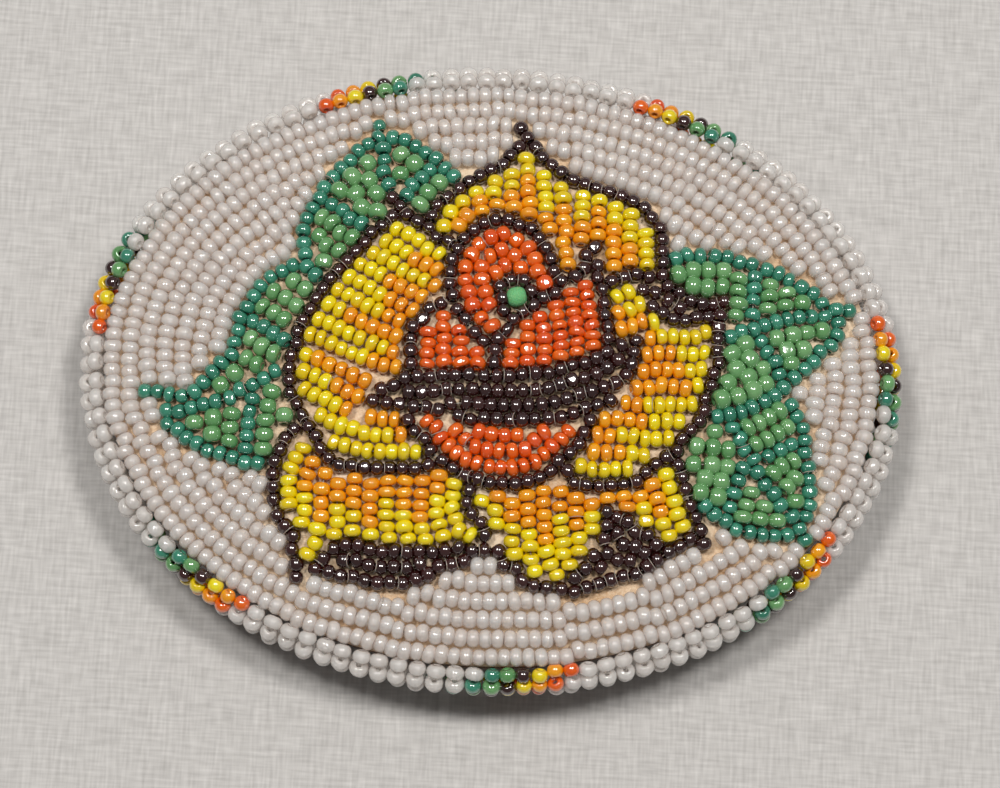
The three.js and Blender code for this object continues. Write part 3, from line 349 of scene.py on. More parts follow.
# Outlining strands: x and y of the points that each runs through
strands = {
    "rose_outline": [
        [2.3, 31.8, 3.2, 30.4, 2.1, 29.3, 0, 26.5, -2.6, 24.7, -5.2, 22.6, -7.6, 20.2, -8.1, 17.5],
        [3.2, 30.4, 4.4, 29.1, 5.4, 27.4, 8, 25.5, 11.1, 24.4, 14.4, 23.4, 17.7, 22, 19.9, 19.5,
         20.5, 17, 20.4, 14.2, 20.5, 12.8],
        [13.2, 10.4, 14.2, 11.5, 15.7, 12.4, 17.3, 12.8, 18.9, 12.5, 20.5, 12.8],
        [-13.5, 21.4, -11, 19.1, -8.1, 17.2, -6.5, 15.8, -5, 15, -4.4, 16.5, -3.5, 17.6, -2.1, 18.5,
         0.8, 19.2, 3.9, 18.1, 5, 16.8, 6.7, 14, 7.2, 12.7, 8.4, 11.3, 9.5, 11.9, 10.6, 13.5, 11.1, 15,
         11.9, 16.1],
        [12.4, 13.4, 12.5, 11.8, 13.2, 10.4, 13.9, 5.8, 14.5, 2.7, 13.3, 1.7, 10.2, 0.9, 6.7, -0.1,
         2.4, -1, -1.9, -1.1, -8.8, -1.5, -11.6, -2.7, -13.2, -3.7],
        [8.4, 11.3, 7.5, 10.1, 4.9, 8.3, 2.6, 6.4, 1.6, 5.2, 0.5, 2.4, 0, 0.7, 0, -1],
        [4.6, 10.2, 3.1, 11.3, 1.3, 11.1, 0.4, 9.4, 0.9, 8, 2.6, 6.4], [4.9, 8.3, 4.6, 10.2],
        [-5, 15, -5.5, 13.3, -5.6, 10.4, -5.2, 8.3, -6.8, 7.9, -8.1, 6.7, -9.3, 5, -10, 3.4, -10, 1.8,
         -9.6, 0.1, -9.6, -1.6],
        [-5.2, 8.3, -4, 6.8, -2.1, 4.2, -1, 3.5, 0.5, 2.4],
        [-13.2, -3.7, -9.8, -3.7, -4.3, -2.9, 2.3, -2.9, 5.5, -2.6, 8.3, -1.8, 11.3, -0.7, 12.8, -0.4,
         14.1, 1],
        [-14.1, -4.7, -12.2, -5.1, -8.6, -5.4, -5.4, -5.6, -3.9, -4.7, 1.6, -4.9, 4.9, -4.7, 7.7, -4.1,
         10.8, -3, 14.1, -1.6, 16.4, -0.8, 17.3, 2, 17.5, 4.3],
        [14.1, 1, 15.4, 1.1, 14.6, 2.5, 15.9, 3.8, 17.5, 4.3],
        [-5.4, -5.7, -2.2, -6.7, 2.8, -6.9, 5.7, -6.6, 8.7, -6, 11.8, -4.6, 14.5, -3.6, 15.2, -2.3,
         16.4, -0.8],
        [-10.5, -5.4, -9.7, -7.2, -8.7, -8.6, -6.2, -11, -3.2, -13.3, -0.2, -14.2, 1.5, -14.5,
         4.5, -14.1, 7.3, -13, 9.3, -11, 11.3, -8.8, 12.4, -6.2, 11.8, -4.6],
        [-12.4, 20.2, -15.3, 17.1, -17, 14.5, -20.8, 9.6, -22.5, 6.8, -23.9, 3.7, -24.7, -1.5,
         -24.2, -4.7, -22.6, -7.1, -20.3, -10.4, -19.5, -11.7, -18.3, -12.7, -16.7, -13.1, -10.5, -13,
         -7.2, -12.6, -6.2, -11.1],
        [-22.6, -7.1, -24.5, -9.7, -25.5, -11.4, -26, -14.3, -25.6, -16.6, -24.8, -18.9, -23.1, -21.4,
         -22.6, -24, -22.5, -26.5],
        [-19.4, -23.8, -20, -25.6, -16.6, -25.9, -13.2, -26.6, -9, -26.5, -7.2, -25.5, -4.1, -24.6,
         -0.6, -22.5, 1.2, -22, 2.1, -23.3, 5.9, -26.2, 9.1, -26.8, 12.3, -26.4, 15.3, -25.3, 18.2, -24.2,
         20.9, -22.5, 24.7, -19.5, 26.1, -18.5],
        [-19.4, -23.8, -18.3, -22.8, -15.6, -22.6, -12, -22.9, -9.5, -23.3, -6.3, -23, -3, -21.9,
         -1.5, -22.6],
        [-18.5, -24.3, -15.2, -24.2, -13.2, -24.8, -9, -24.9, -7.2, -24.3],
        [-1.9, -13.6, -2.1, -16, -1.8, -17.6, -0.7, -19.1, -0.1, -20.7, 1.2, -22],
        [9.3, -11, 10, -13.4, 13.1, -14, 17.3, -13.4, 20.3, -11.6, 22.3, -9.8, 24.4, -7.3, 26, -4.4,
         27, -0.8, 27.5, 1.6, 27.9, 3.5, 27.8, 6.6, 27.9, 8.2],
        [22.3, -9.8, 23.4, -11, 24.6, -14.8, 25.5, -17.2, 26.1, -18.5, 26.4, -20],
        [14.6, -17.2, 16.7, -18.2, 19.3, -19.5, 20.5, -20.5, 22, -21.6],
        [14.6, -17.2, 15.2, -19.2, 16.4, -20.3, 19, -21.5, 20.9, -22.5],
        [15.2, -19.2, 14, -21.6, 15.7, -22.1, 17.2, -22.9, 19.6, -23.4],
        [14, -21.6, 13.1, -23, 14.7, -23.8, 16.5, -24.9], [13.1, -23, 11.9, -24.2, 11.2, -25.1, 11, -26.7],
        [18.3, 12.5, 18.3, 10.8, 19.9, 10.5, 21.7, 9.7, 23.2, 8.9],
        [20.5, 12.8, 21.6, 11.7, 24.5, 9.9, 27.2, 9.9, 28.4, 10.4],
        [19.4, 10.5, 19.4, 9, 21.1, 7.7, 24.6, 7.4, 27.9, 8.2, 27.2, 9.9]],
    "leaf_outline_left": [
        [-15.6, 31.3, -15.2, 30.1, -17, 28.4, -19, 25.8, -21.2, 23.1, -22.5, 20.5, -24, 17.8,
         -24.1, 16.1, -23.3, 12.3, -22.1, 11],
        [-15.2, 30.1, -11.9, 29.4, -9.5, 27.7, -7, 25.6, -5.9, 24.6],
        [-15.2, 30.1, -15, 28.6, -14.4, 25.1, -13.7, 23.3], [-8.3, 26.7, -9.8, 24, -11, 22.9, -11.5, 21.8],
        [-22.5, 20.8, -20.5, 20.4, -18.2, 18.4, -16.9, 17.6],
        [-23.3, 12.3, -26.2, 11.4, -28.6, 9.9, -30.3, 7.6, -31.2, 4.7, -31.6, 1.5, -33, -1.2,
         -35.2, -3.3, -36.4, -4.5, -39, -4.9, -42.4, -4.2],
        [-31.2, 4.9, -29.4, 4.7, -26.8, 3.2, -25.6, 2.4],
        [-26.4, -1.5, -28.9, -3.3, -32.8, -5.1, -35.4, -6, -40, -7, -39, -8.4, -36.4, -10.1,
         -33.5, -11.4, -30.9, -12.4, -27.9, -13.1],
        [-29.2, -3.5, -29.2, -7.4, -29.6, -12.7], [-36.4, -4.5, -38.5, -6.6]],
    "leaf_outline_right": [
        [22.2, 14.8, 23.7, 15.6, 29, 15.6, 31.6, 15, 36.8, 13.3, 40.5, 11.1, 41.2, 9.5],
        [43.6, 10.3, 41.2, 9.5, 38.8, 9.1, 34.2, 7.4, 31.6, 6.3, 29.1, 5.6],
        [32, 15, 32.2, 11.8, 31.6, 6.3, 32.9, 5, 34.6, 3, 35.8, -0.2, 33.9, -1.8, 31.7, -3, 29.3, -4.3,
         27.7, -4.5],
        [42.3, 9.9, 42.7, 8, 41.2, 5.3, 39.4, 3.5, 36.8, 1, 35.8, -0.2, 36.5, -2, 38, -4.4, 38.9, -10.1,
         39.3, -14.3, 38.4, -17.4, 39, -18.9],
        [38.4, -17.4, 36.8, -18.2, 33, -18.4, 30.5, -17.9, 28.1, -16.5, 26.7, -15.3],
        [30, -4.1, 30, -6.9, 31.3, -8.1, 33.2, -10.9, 34.7, -13.2, 38.4, -17],
        [31.8, -9, 31, -10.8, 30.3, -14, 29.3, -17], [38.4, -6.5, 36.9, -7.3, 34.2, -9.2, 33.1, -10.7]],
}

# Lay the motif out
letters = {"Y": "yellow", "O": "orange", "R": "red", "G": "green"}
strandKinds = {"rose_outline": "dark", "leaf_outline_left": "teal", "leaf_outline_right": "teal"}
for piece, runs in strands.items():
    for run in runs:
        addRun(piece, strandKinds[piece], run, fixedPitch=1.57, avoid=True)
for piece, lanes in panels.items():
    for lane in lanes:
        addRun(piece, [letters[letter] for letter in lane[-1]], lane[:-1])
motifCount = len(placed)


def relax(beads, rounds, stiffness):
    # beads that lie into each other move apart, the clear ones first
    at = np.array([bead["at"] for bead in beads])
    home = np.array([bead["home"] for bead in beads])
    aim = np.array([bead["aim"] for bead in beads])
    half = np.array([[bead["along"] / 2, bead["across"] / 2] for bead in beads])
    ease = np.array([1.0 if bead["kind"] == "clear" else 0.35 for bead in beads])
    limit = np.array([stiffness["clear" if bead["kind"] == "clear" else "motif"] for bead in beads])
    tree = KDTree(len(beads))
    for i, p in enumerate(at):
        tree.insert((p[0], p[1], 0), i)
    tree.balance()
    pairs = np.array([(i, j) for i, p in enumerate(at)
                      for _, j, _ in tree.find_range((p[0], p[1], 0), 2.9) if j > i])
    one, two = pairs[:, 0], pairs[:, 1]
    for _ in range(rounds):
        apart = at[two] - at[one]
        distance = np.maximum(np.linalg.norm(apart, axis=1), 1e-6)
        aimed = apart / distance[:, None]
        reach = np.zeros(len(pairs))
        for side in (one, two):
            along = np.abs((aimed * aim[side]).sum(axis=1))
            across = np.sqrt(np.maximum(1 - along ** 2, 0))
            reach += ((along / half[side, 0]) ** 2.6 + (across / half[side, 1]) ** 2.6) ** (-1 / 2.6)
        overlap = np.maximum(reach * 0.99 - distance, 0)
        total = ease[one] + ease[two]
        push = aimed * overlap[:, None] * 0.55
        np.add.at(at, one, -push * (ease[one] / total)[:, None])
        np.add.at(at, two, push * (ease[two] / total)[:, None])
        drift = at - home
        far = np.linalg.norm(drift, axis=1)
        scale = np.minimum(1, limit / np.maximum(far, 1e-6))
        at = home + drift * scale[:, None]
    for bead, p in zip(beads, at):
        bead["at"] = p


relax(placed, 30, {"motif": 0.32, "clear": 0.5})

# Clear rows, each an oval inside the last, stopping where they meet the motif
rows = {"first": (46.6, 35.6), "pitch": 2.17, "beadPitch": 1.5, "wander": 0.12, "meet": 0.85,
        "stretch": 1.05}
leafTips = ((-42.4, -4.2), (43.6, 10.3), (39.0, -18.9))  # where the leaves part the clear rows
cell, gridA, gridB, beadRoom = 0.3, 49, 38, 1.3
gridX, gridY = np.meshgrid(np.arange(-gridA, gridA, cell), np.arange(-gridB, gridB, cell), indexing="ij")
blocked = np.zeros(gridX.shape, bool)
for bead in placed:
    blocked |= (gridX - bead["at"][0]) ** 2 + (gridY - bead["at"][1]) ** 2 < beadRoom ** 2
openGround = np.zeros_like(blocked)
openGround[0, :] = openGround[-1, :] = openGround[:, 0] = openGround[:, -1] = True
while True:
    grown = openGround.copy()
    grown[1:] |= openGround[:-1]
    grown[:-1] |= openGround[1:]
    grown[:, 1:] |= openGround[:, :-1]
    grown[:, :-1] |= openGround[:, 1:]
    grown &= ~blocked
    if (grown == openGround).all():
        break
    openGround = grown
turnOval = (47, 36)  # mm, half sizes of the oval on which turns about the middle are reckoned
tipTurns = [math.atan2((y - roseDrop) / turnOval[1], x / turnOval[0]) for x, y in leafTips]
motifTree = KDTree(motifCount)
for i, bead in enumerate(placed):
    motifTree.insert((bead["at"][0], bead["at"][1], 0), i)
motifTree.balance()


def ovalWalk(a, b, pitch, start):
    turns = np.linspace(0, 2 * math.pi, 2001)
    x, y = a * np.cos(turns), b * np.sin(turns)
    length = np.concatenate([[0], np.cumsum(np.hypot(np.diff(x), np.diff(y)))])
    count = round(length[-1] / pitch)
    steps = (np.arange(count) + start) / count * length[-1]
    return np.interp(steps, length, turns), count


row = 0
while rows["first"][1] - row * rows["pitch"] > 2:
    a, b = (half - row * rows["pitch"] for half in rows["first"])
    turns, count = ovalWalk(a, b, rows["beadPitch"], rng.random())
    sway = rng.random() * 6.28
    lastKept = None
    for turn in turns:
        wander = rows["wander"] * math.sin(5 * turn + sway) if row else 0
        at = np.array([(a + wander) * math.cos(turn), (b + wander) * math.sin(turn)])
        at += rng.normal(0, 0.05, 2)
        aim = np.array([-a * math.sin(turn), b * math.cos(turn)])
        aim /= np.linalg.norm(aim)
        cellAt = int((at[0] + gridA) / cell), int((at[1] + gridB) / cell)
        if not openGround[cellAt]:
            continue
        near = motifTree.find((at[0], at[1], 0))
        other = placed[near[1]]
        side = (other["at"] - at) / max(near[2], 1e-6)
        reach = 0
        for direction, size in ((aim, beadSizes["clear"]), (other["aim"], (other["across"], other["along"]))):
            share = abs(float(side @ direction))
            reach += 1 / math.sqrt((share / (size[1] / 2)) ** 2 + (1 - share ** 2) / (size[0] / 2) ** 2)
        if reach - near[2] > rows["meet"]:
            continue
        angle = math.atan2(at[1] / turnOval[1], at[0] / turnOval[0])
        if row == 0:
            piece = "white_row_outer"
        elif tipTurns[2] < angle < tipTurns[1]:
            piece = "white_field_right"
        elif tipTurns[1] <= angle or angle <= tipTurns[0]:
            piece = "white_field_upper"
        else:
            piece = "white_field_lower"
        if lastKept is None or turn - lastKept > 1.7 * 2 * math.pi / count:
            runNumber = placed[-1]["run"] + 1
        lastKept = turn
        across, along = beadSizes["clear"]
        placed.append({"piece": piece, "kind": "clear", "at": at, "home": at.copy(), "aim": aim,
                       "across": across, "along": along, "strand": False, "run": runNumber})
    row += 1
relax(placed, 25, {"motif": 0.36, "clear": 0.5})
print("laid out", motifCount, "motif beads and", len(placed) - motifCount, "clear ones in", row, "rows")


# Beads as meshes
def beadBatch(centres, axes, ups, across, along, tones, facets):
    count, sides, outline = len(centres), beadShape["sides"], beadShape["outline"]
    swing = np.linspace(-math.pi / 2, math.pi / 2, outline)
    power = 2 / beadShape["squareness"]
    endwise = np.sign(np.sin(swing)) * np.abs(np.sin(swing)) ** power
    outside = np.abs(np.cos(swing)) ** power
    outside[0] = outside[-1] = 0
    hole = beadShape["hole"]
    ringEnd = np.append(endwise, 0.0)
    ringOut = np.append(outside, -0.12)
    turn = np.arange(sides) * 2 * math.pi / sides
    axes, ups = np.asarray(axes, float), np.asarray(ups, float)
    axes /= np.linalg.norm(axes, axis=1, keepdims=True)
    ups = ups - axes * (ups * axes).sum(axis=1, keepdims=True)
    ups /= np.linalg.norm(ups, axis=1, keepdims=True)
    sidesWays = np.cross(axes, ups)
    radius = hole + (np.asarray(across)[:, None] / 2 - hole) * ringOut[None, :]
    radial = (ups[:, None, None, :] * np.cos(turn)[None, None, :, None]
              + sidesWays[:, None, None, :] * np.sin(turn)[None, None, :, None])
    local = (radial * radius[:, :, None, None]
             + axes[:, None, None, :]
             * (ringEnd[None, :, None, None] * np.asarray(along)[:, None, None, None] / 2))
    facets = np.asarray(facets, float)
    depth = np.linalg.norm(facets, axis=1)
    cut = depth > 0
    if cut.any():
        # a cut bead has one flat ground on its outside
        aim = facets[cut] / depth[cut, None]
        reach = (local[cut] * aim[:, None, None, :]).sum(axis=-1)
        over = np.maximum(reach - (depth[cut] * np.asarray(across)[cut] / 2)[:, None, None], 0)
        local[cut] -= over[..., None] * aim[:, None, None, :]
    points = (np.asarray(centres)[:, None, None, :] + local).reshape(-1, 3) * mm
    rings = outline + 1
    ring, step = np.meshgrid(np.arange(rings), np.arange(sides), indexing="ij")
    a, b = ring * sides + step, ring * sides + (step + 1) % sides
    c, d = ((ring + 1) % rings) * sides + (step + 1) % sides, ((ring + 1) % rings) * sides + step
    quad = np.stack([a, b, c, d], axis=-1).reshape(-1, 4)
    quads = (quad[None] + (np.arange(count) * rings * sides)[:, None, None]).reshape(-1, 4)
    marks = np.empty((count, rings, sides, 4), np.float32)
    marks[..., 0] = np.asarray(tones)[:, None, None]
    marks[..., 1] = (ringEnd / 2 + 0.5)[None, :, None]
    marks[..., 2] = (np.cos(turn) / 2 + 0.5)[None, None, :]
    marks[..., 3] = (np.sin(turn) / 2 + 0.5)[None, None, :]
    return points, quads, marks.reshape(-1, 4)


def addBeads(name, beads, kind, body="root"):
    points, quads, marks = beadBatch(
        [bead["centre"] for bead in beads], [bead["axis"] for bead in beads], [bead["up"] for bead in beads],
        [bead["across"] for bead in beads], [bead["along"] for bead in beads],
        [bead["tone"] for bead in beads], [bead["facet"] for bead in beads])
    mesh = bpy.data.meshes.new(name)
    mesh.vertices.add(len(points))
    mesh.vertices.foreach_set("co", points.ravel())
    mesh.loops.add(quads.size)
    mesh.loops.foreach_set("vertex_index", quads.ravel())
    mesh.polygons.add(len(quads))
    mesh.polygons.foreach_set("loop_start", np.arange(len(quads)) * 4)
    mesh.update(calc_edges=True)
    mesh.polygons.foreach_set("use_smooth", [True] * len(quads))
    tone = mesh.attributes.new("bead", "FLOAT_COLOR", "POINT")
    tone.data.foreach_set("color", marks.ravel())
    mesh.materials.append(glassMaterials[kind])
    mesh.validate()
    piece = bpy.data.objects.new(name, mesh)
    bpy.context.scene.collection.objects.link(piece)
    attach(piece, body)
    return piece


def jittered(bead, sizeSpread):
    bead["across"] *= 1 + rng.normal(0, sizeSpread)
    bead["tone"] = rng.random()
    bead["axis"] = bead["axis"] + rng.normal(0, math.radians(beadShape["tilt"]), 3)
    return bead


# a cut bead's flat lies between the eye and one of the two lamps
glance = np.array([[-0.136, -0.059, 0.989], [0.136, -0.059, 0.989]])
cutShare = {"clear": 0.0, "yellow": 0.01, "orange": 0.0, "red": 0.12, "dark": 0.025, "teal": 0.06,
            "green": 0.04}
for bead in placed:
    x, y = bead["at"]
    normal = outward(x, y)
    bead["up"] = normal
    slopeAlong = -(normal[0] * bead["aim"][0] + normal[1] * bead["aim"][1]) / normal[2]
    bead["axis"] = np.array([bead["aim"][0], bead["aim"][1], slopeAlong])
    stretch = rows["stretch"] if bead["kind"] == "clear" else 1.0
    bead["along"] *= (1 + rng.normal(0, beadShape["lengthSpread"] * 0.5)) * stretch
    jittered(bead, beadShape["sizeSpread"])
    lift = bead["across"] / 2 / normal[2] + rng.normal(0, 0.04)
    bead["centre"] = np.array([x, y, faceZ + crown(x, y) + lift])
    bead["facet"] = (0, 0, 0)
    if rng.random() < cutShare[bead["kind"]]:
        bead["facet"] = (glance[rng.integers(2)] + rng.normal(0, 0.02, 3)) * rng.uniform(0.76, 0.88)

for piece in dict.fromkeys(bead["piece"] for bead in placed):
    kinds = dict.fromkeys(bead["kind"] for bead in placed if bead["piece"] == piece)
    for kind in kinds:
        name = f"{piece}_{kind}_beads" if len(kinds) > 1 else f"{piece}_beads"
        beads = [bead for bead in placed if bead["piece"] == piece and bead["kind"] == kind]
        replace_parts(addBeads(name, beads, kind), piece)

# the one large matt bead at the heart of the rose
heart = {"at": (2.7, 9.0 - roseDrop), "across": 2.5, "along": 2.4}
x, y = heart["at"]
heartBead = {"centre": np.array([x, y, faceZ + crown(x, y) + 1.25]), "axis": np.array([1.0, 0.3, 0.0]),
             "up": np.array([0.0, 0.0, 1.0]), "across": heart["across"], "along": heart["along"],
             "tone": 0.35, "facet": (0, 0, 0)}
heartPiece = addBeads("centre_bead_glass", [heartBead], "green")
heartPiece.data.materials[0] = frosted
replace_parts(heartPiece, "centre_bead")
print("front beads made")

# Rolled edge: each stitch wraps four beads round the rim
edge = {"accentTurns": (5.4, 63.3, 111.5, 167.6, 227.3, 277.7, 322.9), "accents": 6, "accentPitch": 1.9,
        "whitePitch": 2.22, "radius": 2.1, "wrap": (67, 22, -22, -67),
        "sizes": {"clear": (2.32, 1.62), "green": (2.15, 1.62), "other": (2.0, 1.58)}}
accentOrder = ["teal", "green", "dark", "yellow", "orange", "red"]
turns = np.linspace(0, 2 * math.pi, 7201)
rimX, rimY = rollA * np.cos(turns), rollB * np.sin(turns)
rimLength = np.concatenate([[0], np.cumsum(np.hypot(np.diff(rimX), np.diff(rimY)))])
middles = np.interp(np.radians(edge["accentTurns"]), turns, rimLength)
accentRun = edge["accents"] * edge["accentPitch"]
stitches = []
for i, middle in enumerate(middles):
    following = middles[i + 1] if i + 1 < len(middles) else middles[0] + rimLength[-1]
    stitches += [(middle - accentRun / 2 + (j + 0.5) * edge["accentPitch"], j, i)
                 for j in range(edge["accents"])]
    free = following - middle - accentRun
    whites = round(free / edge["whitePitch"])
    stitches += [(middle + accentRun / 2 + (j + 0.5) * free / whites, j - whites, i) for j in range(whites)]
edgeBeads, edgeEnds = [], []
for place, j, i in stitches:
    turn = float(np.interp(place % rimLength[-1], rimLength, turns))
    out = np.array([rollB * math.cos(turn), rollA * math.sin(turn), 0.0])
    out /= np.linalg.norm(out)
    tangent = np.array([-out[1], out[0], 0.0])
    for level, wrap in enumerate(edge["wrap"]):
        # counter-clockwise the lower rows run one bead further back at each level
        kind = accentOrder[j + level] if 0 <= j + level < edge["accents"] else "clear"
        angle = math.radians(wrap + rng.normal(0, 2.5))
        radial = out * math.cos(angle) + np.array([0, 0, math.sin(angle)])
        along = -out * math.sin(angle) + np.array([0, 0, math.cos(angle)])
        size = edge["sizes"].get(kind, edge["sizes"]["other"])
        centre = np.array([rollA * math.cos(turn), rollB * math.sin(turn), rollZ])
        centre = centre + radial * (edge["radius"] + rng.normal(0, 0.04)) + tangent * rng.normal(0, 0.06)
        edgeBeads.append(jittered({"kind": kind, "centre": centre, "axis": along, "up": radial,
                                   "across": size[0], "along": size[1],
                                   "facet": (0, 0, 0), "run": i}, 0.03))
    edgeEnds.append((centre, out))
for kind in accentOrder:
    piece = addBeads(f"edge_{kind}_beads", [bead for bead in edgeBeads if bead["kind"] == kind], kind)
    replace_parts(piece, *[f"edge_accent_{n + 1}" for n in range(len(middles))])
for n in range(len(middles)):
    beads = [bead for bead in edgeBeads if bead["kind"] == "clear" and bead["run"] == n]
    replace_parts(addBeads(f"edge_white_{n + 1}_beads", beads, "rim"), f"edge_white_{n + 1}")
print("edge beads made:", len(edgeBeads))

# Thread
# Fine nylon beading thread: clear, faintly milky, drawn smooth
threadLook = {"colour": "#bfb3a8", "laid": 0.09, "radius": 0.05,
              "couched": {"dark": 0.28, "clear": 0.03, "teal": 0.03}}
thread, tree, shader = newMaterial("drawn_nylon_thread",
                                   {"Roughness": 0.28, "IOR": 1.53, "Subsurface Weight": 0.2,
                                    "Subsurface Scale": 0.2 * mm})
place = addNode(tree, "TexCoord")
twist = addNode(tree, "TexNoise", {"Vector": place.outputs["Object"], "Scale": 1 / (0.4 * mm), "Detail": 2.0})
tinted = addNode(tree, "Mix", {"Factor": twist.outputs["Fac"], "A": toLinear("#8f8378"),
                               "B": toLinear(threadLook["colour"])}, data_type="RGBA")
tree.links.new(tinted.outputs["Result"], shader.inputs["Base Color"])


def tubes(paths, radius, sides):
    # paths are lists of points in mm, each swept with a small round section
    points, faces = [], []
    turn = np.arange(sides) * 2 * math.pi / sides
    for path in paths:
        line = np.asarray(path, float)
        heading = np.gradient(line, axis=0)
        heading /= np.linalg.norm(heading, axis=1, keepdims=True)
        guide = np.array([0.31, 0.17, 0.93])
        first = np.cross(heading, guide)
        first /= np.linalg.norm(first, axis=1, keepdims=True)
        second = np.cross(heading, first)
        start = len(points)
        for p, u, v in zip(line, first, second):
            points.extend(p + radius * (u * np.cos(a) + v * np.sin(a)) for a in turn)
        for i in range(len(line) - 1):
            for k in range(sides):
                a, b = start + i * sides + k, start + i * sides + (k + 1) % sides
                faces.append((a, b, b + sides, a + sides))
        faces.append(tuple(start + k for k in reversed(range(sides))))
        faces.append(tuple(start + (len(line) - 1) * sides + k for k in range(sides)))
    return np.array(points) * mm, faces


laid, couched = [], []
for one, two in zip(placed, placed[1:]):
    if one["run"] != two["run"] or np.linalg.norm(one["centre"] - two["centre"]) > 2.6:
        continue
    laid.append([one["centre"], two["centre"]])
    if rng.random() < threadLook["couched"].get(one["kind"], 0.02):
        aim = (two["centre"] - one["centre"]) / np.linalg.norm(two["centre"] - one["centre"])
        middle, rise = (one["centre"] + two["centre"]) / 2, one["up"] - aim * (one["up"] @ aim)
        rise /= np.linalg.norm(rise)
        over, bow = one["across"] / 2 * rng.uniform(0.8, 1.0), rng.choice((-1, 1)) * rng.uniform(0.1, 0.34)
        aside = np.cross(aim, rise)
        couched.append([middle + aim * bow * math.cos(a) + (rise * math.cos(a) + aside * math.sin(a)) * over
                        for a in np.linspace(-1.75, 1.75, 11)])
points, faces = tubes(laid, threadLook["laid"], 5)
addMesh("laid_thread", points, faces, thread)
points, faces = tubes(couched, threadLook["radius"], 5)
addMesh("couching_thread", points, faces, thread)
points, faces = tubes([[centre, centre + out * -1.1 + np.array([0, 0, -0.35]), centre + out * -2.2
                        + np.array([0, 0, -0.72]), centre + out * -2.9 + np.array([0, 0, -0.5])]
                       for centre, out in edgeEnds], threadLook["laid"], 6)
addMesh("edge_stitch_thread", points, faces, thread)
print("thread run:", len(laid), "laid and", len(couched), "couched")

# Hide under the beads
# Smoked deer hide: a pale tan suede with a felted nap, darker where it dips
hideLook = {"light": "#ecd8bd", "deep": "#c6a27c", "hairs": 5200, "hairLength": (0.25, 0.75),
            "hair": "#e9d6b4"}
hide, tree, shader = newMaterial("smoked_deer_hide", {"Roughness": 0.95, "Sheen Weight": 0.35,
                                                      "Sheen Roughness": 0.5, "Specular IOR Level": 0.2})
place = addNode(tree, "TexCoord")
felted = addNode(tree, "TexNoise", {"Vector": place.outputs["Object"], "Scale": 1 / (0.35 * mm),
                                    "Detail": 4.0, "Roughness": 0.7})
smoke = addNode(tree, "TexNoise", {"Vector": place.outputs["Object"], "Scale": 1 / (9 * mm), "Detail": 2.0})
both = addNode(tree, "Math", {0: felted.outputs["Fac"], 1: smoke.outputs["Fac"]}, operation="ADD")
spread = addNode(tree, "MapRange", {"Value": both.outputs["Value"], "From Min": 0.7, "From Max": 1.25})
tinted = addNode(tree, "Mix", {"Factor": spread.outputs["Result"], "A": toLinear(hideLook["deep"]),
                               "B": toLinear(hideLook["light"])}, data_type="RGBA")
tree.links.new(tinted.outputs["Result"], shader.inputs["Base Color"])
bump = addNode(tree, "Bump", {"Height": felted.outputs["Fac"], "Strength": 0.8, "Distance": 0.12 * mm})
tree.links.new(bump.outputs["Normal"], shader.inputs["Normal"])


def domeShell(name, low, high, a, b, material, wrinkle=0.0, rings=40, segments=144):
    # a layer of the dome between two heights above its rim, closed round its edge; a and b in mm
    turn = np.arange(segments) * 2 * math.pi / segments
    share = np.linspace(0, 1, rings + 1)[1:] ** 0.8
    points = [(0, 0, high + float(crown(0, 0)))]
    for s in share:
        x, y = a * s * np.cos(turn), b * s * np.sin(turn)
        ripple = wrinkle * (np.sin(7.3 * x + 2.1 * y) + np.sin(5.1 * y - 3.7 * x + 1))
        points += list(zip(x, y, high + crown(x, y) + ripple))
    for s in share[::-1]:
        x, y = a * s * np.cos(turn), b * s * np.sin(turn)
        points += list(zip(x, y, np.maximum(low + crown(x, y), floorZ)))
    points.append((0, 0, max(low + float(crown(0, 0)), floorZ)))
    faces = [(0, 1 + i, 1 + (i + 1) % segments) for i in range(segments)]
    for ring in range(2 * rings - 1):
        for i in range(segments):
            p, q = 1 + ring * segments + i, 1 + ring * segments + (i + 1) % segments
            faces.append((p, p + segments, q + segments, q))
    last = len(points) - 1
    tail = 1 + (2 * rings - 1) * segments
    faces += [(last, tail + (i + 1) % segments, tail + i) for i in range(segments)]
    return addMesh(name, np.array(points) * mm, faces, material)


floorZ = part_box("felt_pad")[0].z / mm
hidePiece = domeShell("hide_ground_suede", faceZ - 0.9, faceZ, hideBox[1].x / mm, hideBox[1].y / mm, hide,
                      0.02)
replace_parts(hidePiece, "hide_ground")

